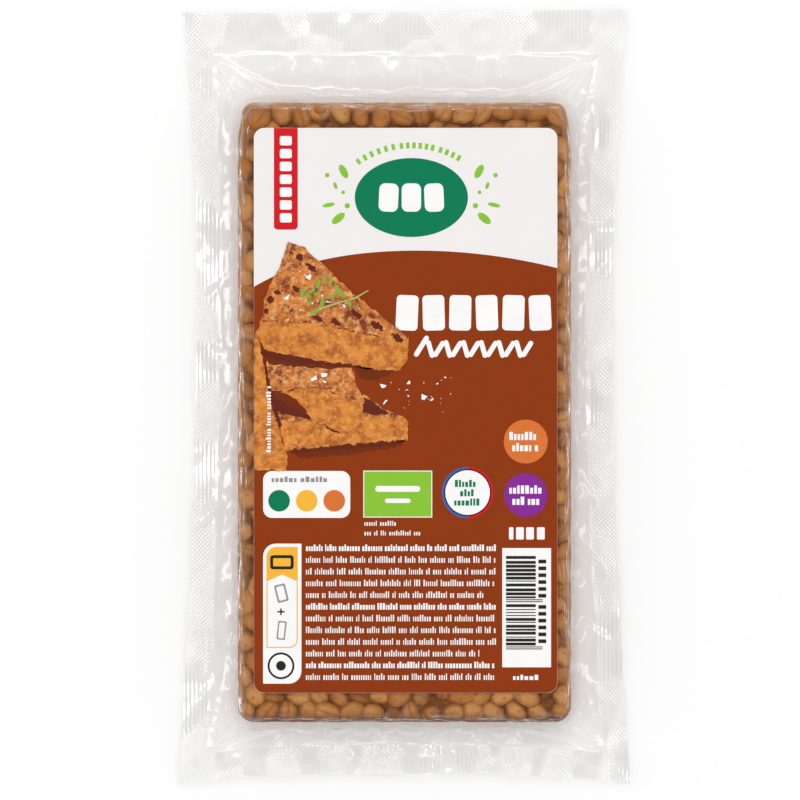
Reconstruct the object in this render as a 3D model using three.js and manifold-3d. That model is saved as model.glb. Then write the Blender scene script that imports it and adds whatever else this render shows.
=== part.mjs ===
// A tempeh cake in its vacuum pouch, lying on its back: a pressed slab of soybeans, a clear pouch drawn
// tight round it and heat-sealed along all four sides, and a printed label stuck on the front.
// Millimetres, +Z up. X runs across the pack, Y along it towards the top of the label, and the origin is
// the middle of the pack's outline, on the surface that it lies on.
import * as THREE from "three";
import { mergeVertices } from "three/addons/utils/BufferGeometryUtils.js";
import Module from "manifold-3d";

const wasm = await Module();
wasm.setup();

// The slab of tempeh. Its top end is pinched in a little by the film.
const CAKE = {
  width: 90,
  length: 167,
  depth: 10,
  centreY: -4,
  cornerRadius: 5, // seen from above
  edgeRadius: 2.6, // from the front face round to the side
  baseRadius: 1.6, // from the back face round to the side
  pinch: 2, // how far each side comes in at the top end
  pinchLength: 14,
};

// The pouch's outline. Its long sides are drawn in by the vacuum, most of all at the waist.
const POUCH = {
  length: 209,
  topWidth: 120,
  waistWidth: 112,
  bottomWidth: 122,
  leftWaistY: 37, // the left side is drawn in most a little higher than the right one
  rightWaistY: 20,
  bottomBow: 3, // how far the middle of the bottom edge is drawn up
  topBow: 0.6,
  skirt: 2.6, // how far out the film runs before it meets the film of the other side
};

// The two films together, where they are sealed.
const SEAL = {
  thickness: 0.6,
  height: 3.3, // of its middle, beside the cake
  droop: 1.5, // how much lower it is at the outer edge
  top: 11,
  side: 7,
  bottom: 8,
};

const LABEL = {
  width: 81.5,
  length: 151.7,
  thickness: 0.2,
  cornerRadius: 2.8,
  centreX: 0.3,
  centreY: -3.5,
  gap: 0.25, // between it and the flat of the pouch
};

// Folds in the film between the cake and the seal.
const FOLDS = {
  cornerHeight: 0.9,
  cornerReach: 22, // how far a corner's fan of folds runs
  cornerWaves: 11, // folds in a full turn
  endHeight: 0.5,
  endPitch: 13,
  sideHeight: 0.35,
  sidePitch: 31,
};

// Segments of the pouch's grid, from its middle to one edge.
const GRID = {
  acrossMiddle: 3,
  acrossEdge: 7,
  acrossMargin: 6,
  alongMiddle: 13,
  alongEdge: 7,
  alongMargin: 8,
};

const { clamp, lerp, smoothstep, smootherstep } = THREE.MathUtils;
const TURN = 2 * Math.PI;
const halfLength = POUCH.length / 2;
const cakeTop = CAKE.centreY + CAKE.length / 2;
const cakeBottom = CAKE.centreY - CAKE.length / 2;

// Rises from 0 at 0 to 1 at the middle and falls back to 0 at 1.
const hump = (t) => Math.sin(Math.PI * clamp(t, 0, 1)) ** 2;

// Half the cake's width at y: constant, then pinched towards the top end.
function cakeHalfWidth(y) {
  const share = clamp((y - (cakeTop - CAKE.pinchLength)) / CAKE.pinchLength, 0, 1);
  return CAKE.width / 2 - CAKE.pinch * share ** 2;
}

// How far a side of the pouch is from its middle line at y: least at that side's waist, and growing nearly
// with the square of the distance from it.
function pouchHalfWidth(side, y) {
  const waistY = side < 0 ? POUCH.leftWaistY : POUCH.rightWaistY;
  const above = y > waistY;
  const end = above ? POUCH.topWidth : POUCH.bottomWidth;
  const reach = above ? halfLength - waistY : halfLength + waistY;
  const share = Math.abs(y - waistY) / reach;
  return lerp(POUCH.waistWidth, end, share ** 1.8) / 2;
}

// How far a point is inside the cake's rounded outline, negative outside it.
function insideCake(x, y) {
  const px = Math.abs(x) - (cakeHalfWidth(y) - CAKE.cornerRadius);
  const py = Math.abs(y - CAKE.centreY) - (CAKE.length / 2 - CAKE.cornerRadius);
  const outside = Math.hypot(Math.max(px, 0), Math.max(py, 0));
  return CAKE.cornerRadius - outside - Math.min(Math.max(px, py), 0);
}

// 0 at the cake's outline and 1 at the pouch's edge, on the side or end that the point lies towards.
function marginShare(x, y) {
  const side = (Math.abs(x) - cakeHalfWidth(y)) / (pouchHalfWidth(x, y) - cakeHalfWidth(y));
  const end =
    y > CAKE.centreY ? (y - cakeTop) / (halfLength - cakeTop) : (cakeBottom - y) / (halfLength + cakeBottom);
  return clamp(Math.max(side, end), 0, 1);
}

// Height of the seam between the two films: it droops outwards, in slow waves along the edge.
function seamHeight(x, y) {
  const share = marginShare(x, y);
  const wave = Math.sin((TURN * y) / 58 + 0.6) + Math.sin((TURN * x) / 41 + 1.1);
  return SEAL.height - SEAL.droop * share ** 1.4 + 0.28 * share * wave;
}

// Folds of one film, zero on the cake and on the seal: a fan at each corner, ripples at the ends and sides.
function foldHeight(x, y, phase) {
  const cornerX = Math.sign(x) * (cakeHalfWidth(y) - CAKE.cornerRadius);
  const cornerY = y > CAKE.centreY ? cakeTop - CAKE.cornerRadius : cakeBottom + CAKE.cornerRadius;
  const dx = x - cornerX;
  const dy = y - cornerY;
  const reach = hump(Math.hypot(dx, dy) / FOLDS.cornerReach);
  const fan = FOLDS.cornerHeight * reach * Math.sin(FOLDS.cornerWaves * Math.atan2(dy, dx) + phase) ** 2;

  const sideGap = pouchHalfWidth(x, y) - SEAL.side - cakeHalfWidth(y);
  const side = hump((Math.abs(x) - cakeHalfWidth(y)) / sideGap);
  const sideFold = FOLDS.sideHeight * side * (1 + Math.sin((TURN * y) / FOLDS.sidePitch + phase));

  const seal = y > CAKE.centreY ? SEAL.top : SEAL.bottom;
  const endGap = y > CAKE.centreY ? halfLength - cakeTop : halfLength + cakeBottom;
  const past = y > CAKE.centreY ? y - cakeTop : cakeBottom - y;
  const end = hump(past / (endGap - seal));
  const endFold = FOLDS.endHeight * end * (1 + Math.sin((TURN * x) / FOLDS.endPitch + phase));
  const clearOfCake = smoothstep(-insideCake(x, y), 0, POUCH.skirt);
  return Math.max(fan, sideFold, endFold) * clearOfCake;
}

// The front film: flat on the cake, round its edge, down its side in an S, and out to the seam.
function frontHeight(x, y) {
  const inside = insideCake(x, y);
  const seam = seamHeight(x, y) + SEAL.thickness / 2;
  const rise = smootherstep(inside, -POUCH.skirt, CAKE.edgeRadius);
  return lerp(seam, CAKE.depth, rise) + foldHeight(x, y, 0);
}

// The back film: flat under the cake, where it is trimmed to a plane, and up to the seam beyond it.
function backHeight(x, y) {
  const inside = insideCake(x, y);
  const seam = seamHeight(x, y) - SEAL.thickness / 2;
  const trim = 0.4;
  const rise = smoothstep(-inside, -CAKE.baseRadius, POUCH.skirt);
  return lerp(-trim, seam, rise) - 0.4 * foldHeight(x, y, 1.2) * rise;
}

// Takes u from -1 to 1 and a grid's three runs of segments, and gives where that grid line lies: the middle
// of the cake, its edge and the film's skirt, then the margin out to the pouch's edge.
function station(u, counts, cakeHalf, edge) {
  const [middle, edgeRun, margin] = counts;
  const total = middle + edgeRun + margin;
  const step = Math.abs(u) * total;
  const inner = cakeHalf - CAKE.cornerRadius;
  const outer = cakeHalf + POUCH.skirt;
  if (step <= middle) return Math.sign(u) * lerp(0, inner, step / middle);
  if (step <= middle + edgeRun) return Math.sign(u) * lerp(inner, outer, (step - middle) / edgeRun);
  return Math.sign(u) * lerp(outer, edge, (step - middle - edgeRun) / margin);
}

// A closed solid of a mesh whose shared vertices are merged.
function solidOf(geometry) {
  const bare = geometry.clone();
  bare.deleteAttribute("normal");
  bare.deleteAttribute("uv");
  const merged = mergeVertices(bare, 1e-4);
  return new wasm.Manifold(
    new wasm.Mesh({
      numProp: 3,
      vertProperties: merged.attributes.position.array,
      triVerts: new Uint32Array(merged.index.array),
    }),
  );
}

function geometryOf(solid) {
  const mesh = solid.getMesh();
  const geometry = new THREE.BufferGeometry();
  geometry.setAttribute("position", new THREE.BufferAttribute(mesh.vertProperties, 3));
  geometry.setIndex(new THREE.BufferAttribute(mesh.triVerts, 1));
  geometry.computeVertexNormals();
  return geometry;
}

// The sealed pouch with the cake in it: a box of 2 x 2 x 2 whose grid is drawn out to the pack's shape.
function pouchGeometry() {
  const across = [GRID.acrossMiddle, GRID.acrossEdge, GRID.acrossMargin];
  const along = [GRID.alongMiddle, GRID.alongEdge, GRID.alongMargin];
  const sum = (counts) => counts.reduce((a, b) => a + b);
  const geometry = new THREE.BoxGeometry(2, 2, 2, 2 * sum(across), 2 * sum(along), 1);
  const position = geometry.attributes.position;
  for (let i = 0; i < position.count; i++) {
    const u = position.getX(i);
    const v = position.getY(i);
    const level = v > 0 ? halfLength - CAKE.centreY : halfLength + CAKE.centreY;
    const y0 = CAKE.centreY + station(v, along, CAKE.length / 2, level);
    const edge = pouchHalfWidth(u, y0);
    const x = station(u, across, cakeHalfWidth(y0), edge);
    const bow = v > 0 ? POUCH.topBow : POUCH.bottomBow;
    const towardsMiddle = 1 - clamp(Math.abs(x) / edge, 0, 1) ** 3;
    const end = v > 0 ? (y0 - cakeTop) / (halfLength - cakeTop) : (cakeBottom - y0) / (halfLength + cakeBottom);
    const y = y0 - Math.sign(v) * bow * towardsMiddle * clamp(end, 0, 1);
    const z = position.getZ(i) > 0 ? frontHeight(x, y) : backHeight(x, y);
    position.setXYZ(i, x, y, z);
  }
  // Everything under the surface that the pack lies on is taken off, which leaves the back flat.
  const table = new THREE.BoxGeometry(2 * POUCH.bottomWidth, 2 * POUCH.length, 10).translate(0, 0, -5);
  return geometryOf(solidOf(geometry).subtract(solidOf(table)));
}

// The label: a rectangle with round corners, as thick as its paper.
function labelGeometry() {
  const { width: w, length: l, cornerRadius: r } = LABEL;
  const outline = new THREE.Shape();
  outline.absarc(w / 2 - r, l / 2 - r, r, 0, TURN / 4);
  outline.absarc(r - w / 2, l / 2 - r, r, TURN / 4, TURN / 2);
  outline.absarc(r - w / 2, r - l / 2, r, TURN / 2, (3 * TURN) / 4);
  outline.absarc(w / 2 - r, r - l / 2, r, (3 * TURN) / 4, TURN);
  return new THREE.ExtrudeGeometry(outline, { depth: LABEL.thickness, bevelEnabled: false, curveSegments: 6 });
}

function named(name, geometry, material) {
  const mesh = new THREE.Mesh(geometry, material);
  mesh.name = name;
  return mesh;
}

const pack = new THREE.Group();

const film = new THREE.MeshStandardMaterial({ color: 0xb98a58, roughness: 0.25, metalness: 0 });
pack.add(named("vacuum_pouch", pouchGeometry(), film));

const paper = new THREE.MeshStandardMaterial({ color: 0xeeeeec, roughness: 0.5, metalness: 0 });
const label = named("label", labelGeometry(), paper);
label.position.set(LABEL.centreX, LABEL.centreY, CAKE.depth + LABEL.gap);
pack.add(label);

export default pack;
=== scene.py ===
# %% [markdown]
# # A vacuum-packed tempeh cake
#
# Tempeh is soybeans pressed into a slab and bound by a mould. This slab is smoked, laid in a clear pouch,
# and the air is drawn out before the last seal is made, so the film grips every bean and stands in crisp
# folds where it has nothing to grip. A printed label is stuck on the front.
#
# The construction model gives two solids, the pouch with all that is in it and the label. This script
# makes the looks around them: the label stays and gets its finish, and the pouch's solid gives way to
# beans, a core that they sit in, and the film.

import bpy
import numpy as np
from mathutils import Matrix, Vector


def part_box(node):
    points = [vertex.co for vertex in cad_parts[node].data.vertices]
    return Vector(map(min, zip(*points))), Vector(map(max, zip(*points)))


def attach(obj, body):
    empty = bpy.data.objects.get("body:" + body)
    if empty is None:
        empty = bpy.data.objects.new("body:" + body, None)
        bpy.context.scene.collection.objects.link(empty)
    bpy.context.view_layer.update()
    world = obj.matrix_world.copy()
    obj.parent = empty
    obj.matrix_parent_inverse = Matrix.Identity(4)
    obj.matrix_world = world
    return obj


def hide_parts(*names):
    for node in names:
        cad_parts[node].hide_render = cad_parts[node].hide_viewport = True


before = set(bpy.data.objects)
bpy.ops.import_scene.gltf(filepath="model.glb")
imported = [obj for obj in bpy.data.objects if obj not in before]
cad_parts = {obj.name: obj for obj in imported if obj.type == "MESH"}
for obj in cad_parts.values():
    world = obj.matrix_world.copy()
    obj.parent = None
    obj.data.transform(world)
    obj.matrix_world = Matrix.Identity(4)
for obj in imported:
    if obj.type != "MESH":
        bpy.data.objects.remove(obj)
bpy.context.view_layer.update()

# %% [markdown]
# ## Sizes
#
# The shapes are worked out in millimetres, because a bean and a fold are a few millimetres across, and
# are turned into metres when a mesh is made. The pack's length, width and height come from the frame, and
# the sizes of what is inside it are given once, here.

# %% Sizes
MM = 0.001
TURN = 2 * np.pi


def frame_box(node):
    """The lowest and highest corner of a frame node, in millimetres."""
    low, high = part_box(node)
    return np.array(low) / MM, np.array(high) / MM


pouch_low, pouch_high = frame_box("vacuum_pouch")
label_low, label_high = frame_box("label")
HALF_LENGTH = (pouch_high[1] - pouch_low[1]) / 2
BOTTOM_WIDTH = pouch_high[0] - pouch_low[0]
CAKE_TOP = pouch_high[2]  # height of the cake's front face

TOP_WIDTH = BOTTOM_WIDTH - 2
WAIST_WIDTH = BOTTOM_WIDTH - 10  # the pouch is narrowest at its waist
LEFT_WAIST_Y = 37
RIGHT_WAIST_Y = 20
WAIST_CURVE = 1.8
TOP_BOW = 0.6  # how much lower the edge is in its middle than at its ends
TOP_TILT = 0.5  # the top edge was cut a little askew
BOTTOM_BOW = 3.0
TOP_SEAL = 11.7
SIDE_SEAL = 7.0
BOTTOM_SEAL = 8.2

CAKE_WIDTH = 90.0
CAKE_LENGTH = 167.0
CAKE_MIDDLE_Y = -4.0
CAKE_CORNER = 4.6
TOP_CORNER = 2.4  # the cake's upper corners are sharper
CAKE_PINCH = 2.0  # its upper end is narrower by this on each side
PINCH_LENGTH = 14.0
cake_end_top = CAKE_MIDDLE_Y + CAKE_LENGTH / 2
cake_end_bottom = CAKE_MIDDLE_Y - CAKE_LENGTH / 2
# Each end of the pack, bottom and top: the way it faces, the cake's end there, its seal and its edge's bow.
BOTTOM_END = (-1, cake_end_bottom, BOTTOM_SEAL, BOTTOM_BOW)
TOP_END = (1, cake_end_top, TOP_SEAL, TOP_BOW)
print("cake ends at y =", cake_end_top, "and", cake_end_bottom, "mm")


def ramp(value, start, end):
    """Rises from 0 at start to 1 at end with a level beginning and end: 3t^2 - 2t^3."""
    t = np.clip((value - start) / (end - start), 0, 1)
    return t * t * (3 - 2 * t)


def between(a, b, share):
    """The value that lies a share of the way from a to b."""
    return a + (b - a) * share


def cake_half_width(y):
    """Half the cake's width: constant, then less by the square of the share of the pinched end."""
    share = np.clip((y - (cake_end_top - PINCH_LENGTH)) / PINCH_LENGTH, 0, 1)
    return CAKE_WIDTH / 2 - CAKE_PINCH * share**2


def pouch_half_width(x, y):
    """Distance of the pouch's left or right edge from the middle, least at that side's waist."""
    waist = np.where(x < 0, LEFT_WAIST_Y, RIGHT_WAIST_Y)
    end = np.where(y > waist, TOP_WIDTH, BOTTOM_WIDTH)
    reach = np.where(y > waist, HALF_LENGTH - waist, HALF_LENGTH + waist)
    share = np.abs(y - waist) / reach
    return between(WAIST_WIDTH, end, share**WAIST_CURVE) / 2


def cake_inside(x, y):
    """How far a point is inside the cake's rounded outline, negative outside, and the way out of it."""
    corner = np.where(y > CAKE_MIDDLE_Y, TOP_CORNER, CAKE_CORNER)
    px = np.abs(x) - (cake_half_width(y) - corner)
    py = np.abs(y - CAKE_MIDDLE_Y) - (CAKE_LENGTH / 2 - corner)
    out_x = np.maximum(px, 0)
    out_y = np.maximum(py, 0)
    outside = np.hypot(out_x, out_y)
    inside = corner - outside - np.minimum(np.maximum(px, py), 0)
    straight_x = np.where(outside > 0, out_x, px > py)
    straight_y = np.where(outside > 0, out_y, px <= py)
    length = np.maximum(np.hypot(straight_x, straight_y), 1e-9)
    return inside, np.sign(x) * straight_x / length, np.sign(y - CAKE_MIDDLE_Y) * straight_y / length


# %% [markdown]
# ## Meshes from arrays
#
# Every new piece is an array of points and one or more arrays of faces. `foreach_set` hands a whole array
# to Blender at once, which takes milliseconds where a loop over vertices takes minutes.

# %% Meshes from arrays
def mesh_piece(name, points, faces, replaces=(), smooth=True):
    """A mesh object of points in millimetres and arrays of faces, one array for each number of corners."""
    mesh = bpy.data.meshes.new(name)
    mesh.vertices.add(len(points))
    mesh.vertices.foreach_set("co", (np.asarray(points) * MM).astype(np.float32).ravel())
    corners = np.concatenate([np.asarray(part).ravel() for part in faces])
    sizes = np.concatenate([np.full(len(part), np.shape(part)[1]) for part in faces])
    mesh.loops.add(len(corners))
    mesh.loops.foreach_set("vertex_index", corners.astype(np.int32))
    mesh.polygons.add(len(sizes))
    mesh.polygons.foreach_set("loop_start", (np.cumsum(sizes) - sizes).astype(np.int32))
    mesh.update(calc_edges=True)
    mesh.validate()
    mesh.polygons.foreach_set("use_smooth", np.full(len(sizes), smooth))
    piece = bpy.data.objects.new(name, mesh)
    bpy.context.scene.collection.objects.link(piece)
    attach(piece, "root")
    for node in replaces:
        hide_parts(node)
    print(f"{name}: {len(points)} points, {sum(sizes - 2)} triangles")
    return piece


def give_values(piece, **named):
    """Stores numbers for each point of a piece, for its material to read by their name."""
    for name, values in named.items():
        attribute = piece.data.attributes.new(name, "FLOAT", "POINT")
        attribute.data.foreach_set("value", np.asarray(values, np.float32).ravel())


# %% [markdown]
# ## Where the beans lie
#
# A press packs beans as close as they go, at all angles, and no two gaps are alike. A square or a
# honeycomb grid would show its rows, and points thrown at random leave bald spots. So the beans start on
# a shaken honeycomb and then push each other apart for some rounds, which ends in an even, disorderly
# packing, as in the press.

# %% Where the beans lie
rng = np.random.default_rng(38)
BEAN_SPACING = 5.6
ROW_STEP = 0.866  # of a honeycomb's rows, in parts of its spacing
PUSH = 0.35  # share of what is missing that a round moves two points apart by


def shaken_honeycomb(width, length, spacing):
    """Points of a honeycomb grid over a rectangle about the origin, each moved by up to a third of the
    spacing."""
    rows = int(length / (spacing * ROW_STEP)) + 1
    columns = int(width / spacing) + 1
    row, column = np.mgrid[0:rows, 0:columns]
    x = (column + 0.5 * (row % 2)) * spacing - width / 2
    y = row * spacing * ROW_STEP - length / 2
    spots = np.stack([x.ravel(), y.ravel()], axis=1)
    return spots + rng.uniform(-spacing / 3, spacing / 3, spots.shape)


def pushed_apart(spots, spacing, room, rounds=40):
    """Each round moves points that are nearer than the spacing apart by a third of what is missing."""
    for _ in range(rounds):
        gap = spots[:, None, :] - spots[None, :, :]
        distance = np.linalg.norm(gap, axis=2) + np.eye(len(spots)) * 1e3
        push = np.clip(spacing - distance, 0, None) / distance
        spots = spots + PUSH * (gap * push[:, :, None]).sum(axis=1)
        spots = np.clip(spots, -room, room)
    return spots


# %% [markdown]
# ## The layers of beans
#
# Only the beans next to a face can be seen, so there is one layer under the front, one over the back and
# a row round the sides. Pressed against a face, a bean lies flat on its side, but points any way along
# it. The beans at the sides stand on the outline of the cake at even steps. Front beans that the label
# hides are left out.

# %% The layers of beans
BEAN_LENGTH = 8.9
BEAN_WIDTH = 6.4
BEAN_THICKNESS = 4.8
LAYER_DEPTH = 2.2  # of a bean's middle below the face that it is pressed against
BEAN_INSET = 2.6  # of a bean's middle inside the cake's outline
FLAT_TILT, SIDE_TILT = 0.22, 0.6  # usual tilt of a bean's length out of level, in radians
SIZE_SPREAD = 0.09  # usual difference of a bean from the mean size, as a share of it


def flat_layer(height, facing):
    """Middles and axes of a layer of beans under the front or over the back face."""
    room = np.array([CAKE_WIDTH, CAKE_LENGTH]) / 2 - BEAN_INSET
    spots = pushed_apart(shaken_honeycomb(*(2 * room), BEAN_SPACING), BEAN_SPACING, room)
    spots[:, 1] += CAKE_MIDDLE_Y
    spots[:, 0] *= (cake_half_width(spots[:, 1]) - BEAN_INSET) / room[0]
    count = len(spots)
    depth = LAYER_DEPTH + rng.uniform(-0.3, 0.5, count)
    middle = np.column_stack([spots, np.full(count, height) - facing * depth])
    turn = rng.uniform(0, TURN, count)
    tilt = rng.normal(0, FLAT_TILT, count)
    long_axis = np.stack([np.cos(turn) * np.cos(tilt), np.sin(turn) * np.cos(tilt), np.sin(tilt)], axis=1)
    up = np.tile([0.0, 0.0, float(facing)], (count, 1))
    wide_axis = np.cross(up, long_axis)
    wide_axis /= np.linalg.norm(wide_axis, axis=1, keepdims=True)
    return middle, np.stack([long_axis, wide_axis, np.cross(long_axis, wide_axis)], axis=1)


def outline_path(inset, spacing):
    """Points round the cake's outline, an inset inside it and a spacing apart, with the way out."""
    half = np.array([CAKE_WIDTH / 2, CAKE_LENGTH / 2]) - CAKE_CORNER
    radius = CAKE_CORNER - inset
    angle = np.linspace(0, TURN, 2881)
    ray = np.stack([np.cos(angle), np.sin(angle)], axis=1)
    corner = np.sign(ray) * half
    path = np.concatenate([corner + radius * ray, corner[:1] + radius * ray[:1]])
    step = np.linalg.norm(np.diff(path, axis=0), axis=1)
    travelled = np.concatenate([[0], np.cumsum(step)])
    stops = np.linspace(0, travelled[-1], int(travelled[-1] / spacing), endpoint=False)
    spots = np.stack([np.interp(stops, travelled, path[:, k]) for k in (0, 1)], axis=1)
    spots[:, 1] += CAKE_MIDDLE_Y
    spots[:, 0] *= cake_half_width(spots[:, 1]) / (CAKE_WIDTH / 2)
    _, out_x, out_y = cake_inside(spots[:, 0], spots[:, 1])
    return spots, np.stack([out_x, out_y, np.zeros(len(spots))], axis=1)


def side_layer():
    """Middles and axes of the beans that show at the cake's sides, half way up."""
    spots, outwards = outline_path(LAYER_DEPTH, BEAN_SPACING)
    count = len(spots)
    height = CAKE_TOP / 2 + rng.uniform(-0.9, 0.9, count)
    middle = np.column_stack([spots, height])
    along = np.cross([0.0, 0.0, 1.0], outwards)
    turn = rng.normal(0, SIDE_TILT, count)[:, None]
    long_axis = along * np.cos(turn) + np.array([0.0, 0.0, 1.0]) * np.sin(turn)
    wide_axis = np.cross(outwards, long_axis)
    return middle, np.stack([long_axis, wide_axis, outwards], axis=1)


def shows_beside_label(middle):
    """True for beans that reach out from under the label."""
    reach = BEAN_LENGTH / 2
    hidden_x = (middle[:, 0] > label_low[0] + reach) & (middle[:, 0] < label_high[0] - reach)
    hidden_y = (middle[:, 1] > label_low[1] + reach) & (middle[:, 1] < label_high[1] - reach)
    return ~(hidden_x & hidden_y)


front_middle, front_axes = flat_layer(CAKE_TOP, 1)
kept = shows_beside_label(front_middle)
back_middle, back_axes = flat_layer(0.0, -1)
side_middle, side_axes = side_layer()
bean_middle = np.concatenate([front_middle[kept], back_middle, side_middle])
bean_axes = np.concatenate([front_axes[kept], back_axes, side_axes])
bean_size = np.array([BEAN_LENGTH, BEAN_WIDTH, BEAN_THICKNESS]) / 2
bean_size = bean_size * rng.normal(1, SIZE_SPREAD, (len(bean_middle), 3)).clip(0.75, 1.2)
print(len(bean_middle), "beans:", int(kept.sum()), "in front,", len(back_middle), "behind,", end=" ")
print(len(side_middle), "at the sides")

# %% [markdown]
# ## One bean, many times
#
# A cooked soybean is an egg-like body, a little bent, that wants to fall into two halves: a groove runs
# along it. Pressed against the film it is flattened. The shape is a function of two parameters, how far
# along the bean and how far round it, and every bean is this shape with its own size, bend and groove.
# Each has only a few dozen faces, because there are hundreds.

# %% The bean's shape
BANDS = 7
ROUND = 10
BLUNTNESS = 2.4
GROOVE_WIDTH = 0.45  # radians


def bean_shape(bend, groove):
    """Points of a bean of length, width and thickness 2: rings whose radius is that of a blunt egg, less
    the groove on its upper side, shifted sideways by the bend times the square of the place along it."""
    along = -np.cos(np.pi * np.arange(1, BANDS) / BANDS)
    around = TURN * np.arange(ROUND) / ROUND
    radius = (1 - np.abs(along) ** BLUNTNESS) ** 0.5
    ring_y = radius[:, None] * np.cos(around)
    ring_z = radius[:, None] * np.sin(around)
    off_top = (around - TURN / 4 + np.pi) % TURN - np.pi
    dip = np.exp(-((off_top / GROOVE_WIDTH) ** 2)) * radius[:, None]
    x = np.broadcast_to(along[:, None], ring_y.shape)
    shape = np.stack([x, ring_y, ring_z], axis=2).reshape(-1, 3)
    shape = np.concatenate([[[-1.0, 0, 0]], shape, [[1.0, 0, 0]]])
    dip = np.concatenate([[0], dip.ravel(), [0]])
    shapes = np.repeat(shape[None], len(bend), axis=0)
    shapes[:, :, 1] += bend[:, None] * (shapes[:, :, 0] ** 2 - 0.4)
    shapes[:, :, 2] -= groove[:, None] * dip
    return shapes, shape


def ball_faces(rings, around):
    """Faces of a closed body of rings between two poles: quads between rings, triangles at the poles."""
    index = 1 + np.arange(rings * around).reshape(rings, around)
    after = np.roll(index, -1, axis=1)
    quads = np.stack([index[:-1], after[:-1], after[1:], index[1:]], axis=2).reshape(-1, 4)
    last = rings * around + 1
    first_fan = np.stack([np.zeros(around, int), after[0], index[0]], axis=1)
    last_fan = np.stack([np.full(around, last), index[-1], after[-1]], axis=1)
    return quads[:, ::-1], np.concatenate([first_fan, last_fan])[:, ::-1]


def repeated(faces, count, points_each):
    """The same faces for each of many copies."""
    start = np.arange(count)[:, None, None] * points_each
    return (faces[None] + start).reshape(-1, faces.shape[1])


# %% [markdown]
# ## The beans, pressed
#
# Film and press leave no bean sticking out, so every point is squeezed into the cake's block. Each point
# also keeps a few numbers for the finish: where on its bean it is, how deep it lies, and how near the
# cake's side.

# %% The beans, pressed
PRESS_EASE = 0.45
SKIN_GAP = 0.1  # between the cake's faces and the beans
EDGE_ROUNDING = 1.5


def pressed(points, ease=PRESS_EASE):
    """Squeezes points into the cake's rounded block: what comes within the ease of a face, or passes it,
    is brought back along a curve that nears the face and never reaches it."""
    x, y, z = points[..., 0], points[..., 1], points[..., 2]
    front = CAKE_TOP - SKIN_GAP
    over = np.maximum(z - (front - ease), 0)
    under = np.maximum(SKIN_GAP + ease - z, 0)
    z = z - over + ease * np.tanh(over / ease) + under - ease * np.tanh(under / ease)
    edge_inset = EDGE_ROUNDING * (np.abs(z - CAKE_TOP / 2) / (CAKE_TOP / 2)) ** 4
    inside, out_x, out_y = cake_inside(x, y)
    past = np.maximum(ease - (inside - edge_inset - SKIN_GAP), 0)
    back = past - ease * np.tanh(past / ease)
    return np.stack([x - out_x * back, y - out_y * back, z], axis=-1)


def cake_depth(points):
    """How deep points lie under the nearest face of the cake."""
    inside, _, _ = cake_inside(points[..., 0], points[..., 1])
    return np.minimum(inside + 0.8, np.minimum(points[..., 2], CAKE_TOP - points[..., 2]))


# This share paints light along the cake's sides and, below 0, paints shade along the bottom end's edge.
def edge_light_and_shade_share(points):
    """1 at the cake's outline and 0 from 3.2 mm inside it, more at the top end and down to -1 along the
    upper edge of the bottom end."""
    inside, _, out_y = cake_inside(points[..., 0], points[..., 1])
    top, bottom = np.clip(out_y, 0, 1), np.clip(-out_y, 0, 1) * ramp(points[..., 2], 2, 7)
    return ramp(-inside, -3.2, -0.8) * (1 + 0.6 * top - bottom) - ramp(-inside, -2.6, -1.8) * bottom


SPLIT_SHARE = 0.4  # of the beans whose groove shows
GROOVE_DEPTH = 0.26
count = len(bean_middle)
split = np.where(rng.uniform(0, 1, count) < SPLIT_SHARE, rng.uniform(0.4, 1.0, count), 0.0)
shapes, plain_shape = bean_shape(rng.normal(0, 0.12, count), GROOVE_DEPTH * split)
bean_points = np.einsum("nvk,nk,nkj->nvj", shapes, bean_size, bean_axes) + bean_middle[:, None, :]
bean_points = pressed(bean_points)
quads, fans = ball_faces(BANDS - 1, ROUND)
points_each = bean_points.shape[1]
soybeans = mesh_piece(
    "soybeans",
    bean_points.reshape(-1, 3),
    [repeated(quads, count, points_each), repeated(fans, count, points_each)],
    replaces=["vacuum_pouch"],
)
along, across, rise = (np.tile(plain_shape[:, axis], count) for axis in range(3))
give_values(
    soybeans,
    tone=np.repeat(rng.uniform(0, 1, count), points_each),
    split=np.repeat(split, points_each),
    along=along,
    across=across,
    rise=rise,
    depth=cake_depth(bean_points),
    side=edge_light_and_shade_share(bean_points),
)
print("mean bean:", (2 * bean_size.mean(axis=0)).round(2), "mm")

# %% [markdown]
# ## The core
#
# Between the beans there is no air: the mould fills every gap with a dense felt, browned here by the
# smoke. A block just under the beans' tops stands for it, with its own relief, so that a gap between two
# beans ends in something and not in a hole.

# %% The core
CORE_DEPTH = 1.1  # below the cake's faces
CORE_INSET = 0.45  # inside the cake's sides
CORE_CELLS = (74, 136)
CORE_FLAT = 0.93  # share of the grid that lies flat, before it bends down round the edge
FELT_RELIEF = 0.35


def grid_faces(rows, columns):
    """Quads between the points of a grid."""
    index = np.arange(rows * columns).reshape(rows, columns)
    return np.stack([index[:-1, :-1], index[:-1, 1:], index[1:, 1:], index[1:, :-1]], axis=2).reshape(-1, 4)


def shell_faces(rows, columns):
    """Faces of a closed body made of a front and a back grid that share their outer points, and which
    points of the grid the back has for itself."""
    front = np.arange(rows * columns).reshape(rows, columns)
    own = np.ones((rows, columns), bool)
    own[[0, -1], :] = False
    own[:, [0, -1]] = False
    number = front.copy()
    number[own] = rows * columns + np.arange(own.sum())
    quads_front = grid_faces(rows, columns)
    return np.concatenate([quads_front, number.ravel()[quads_front][:, ::-1]]), own


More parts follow.
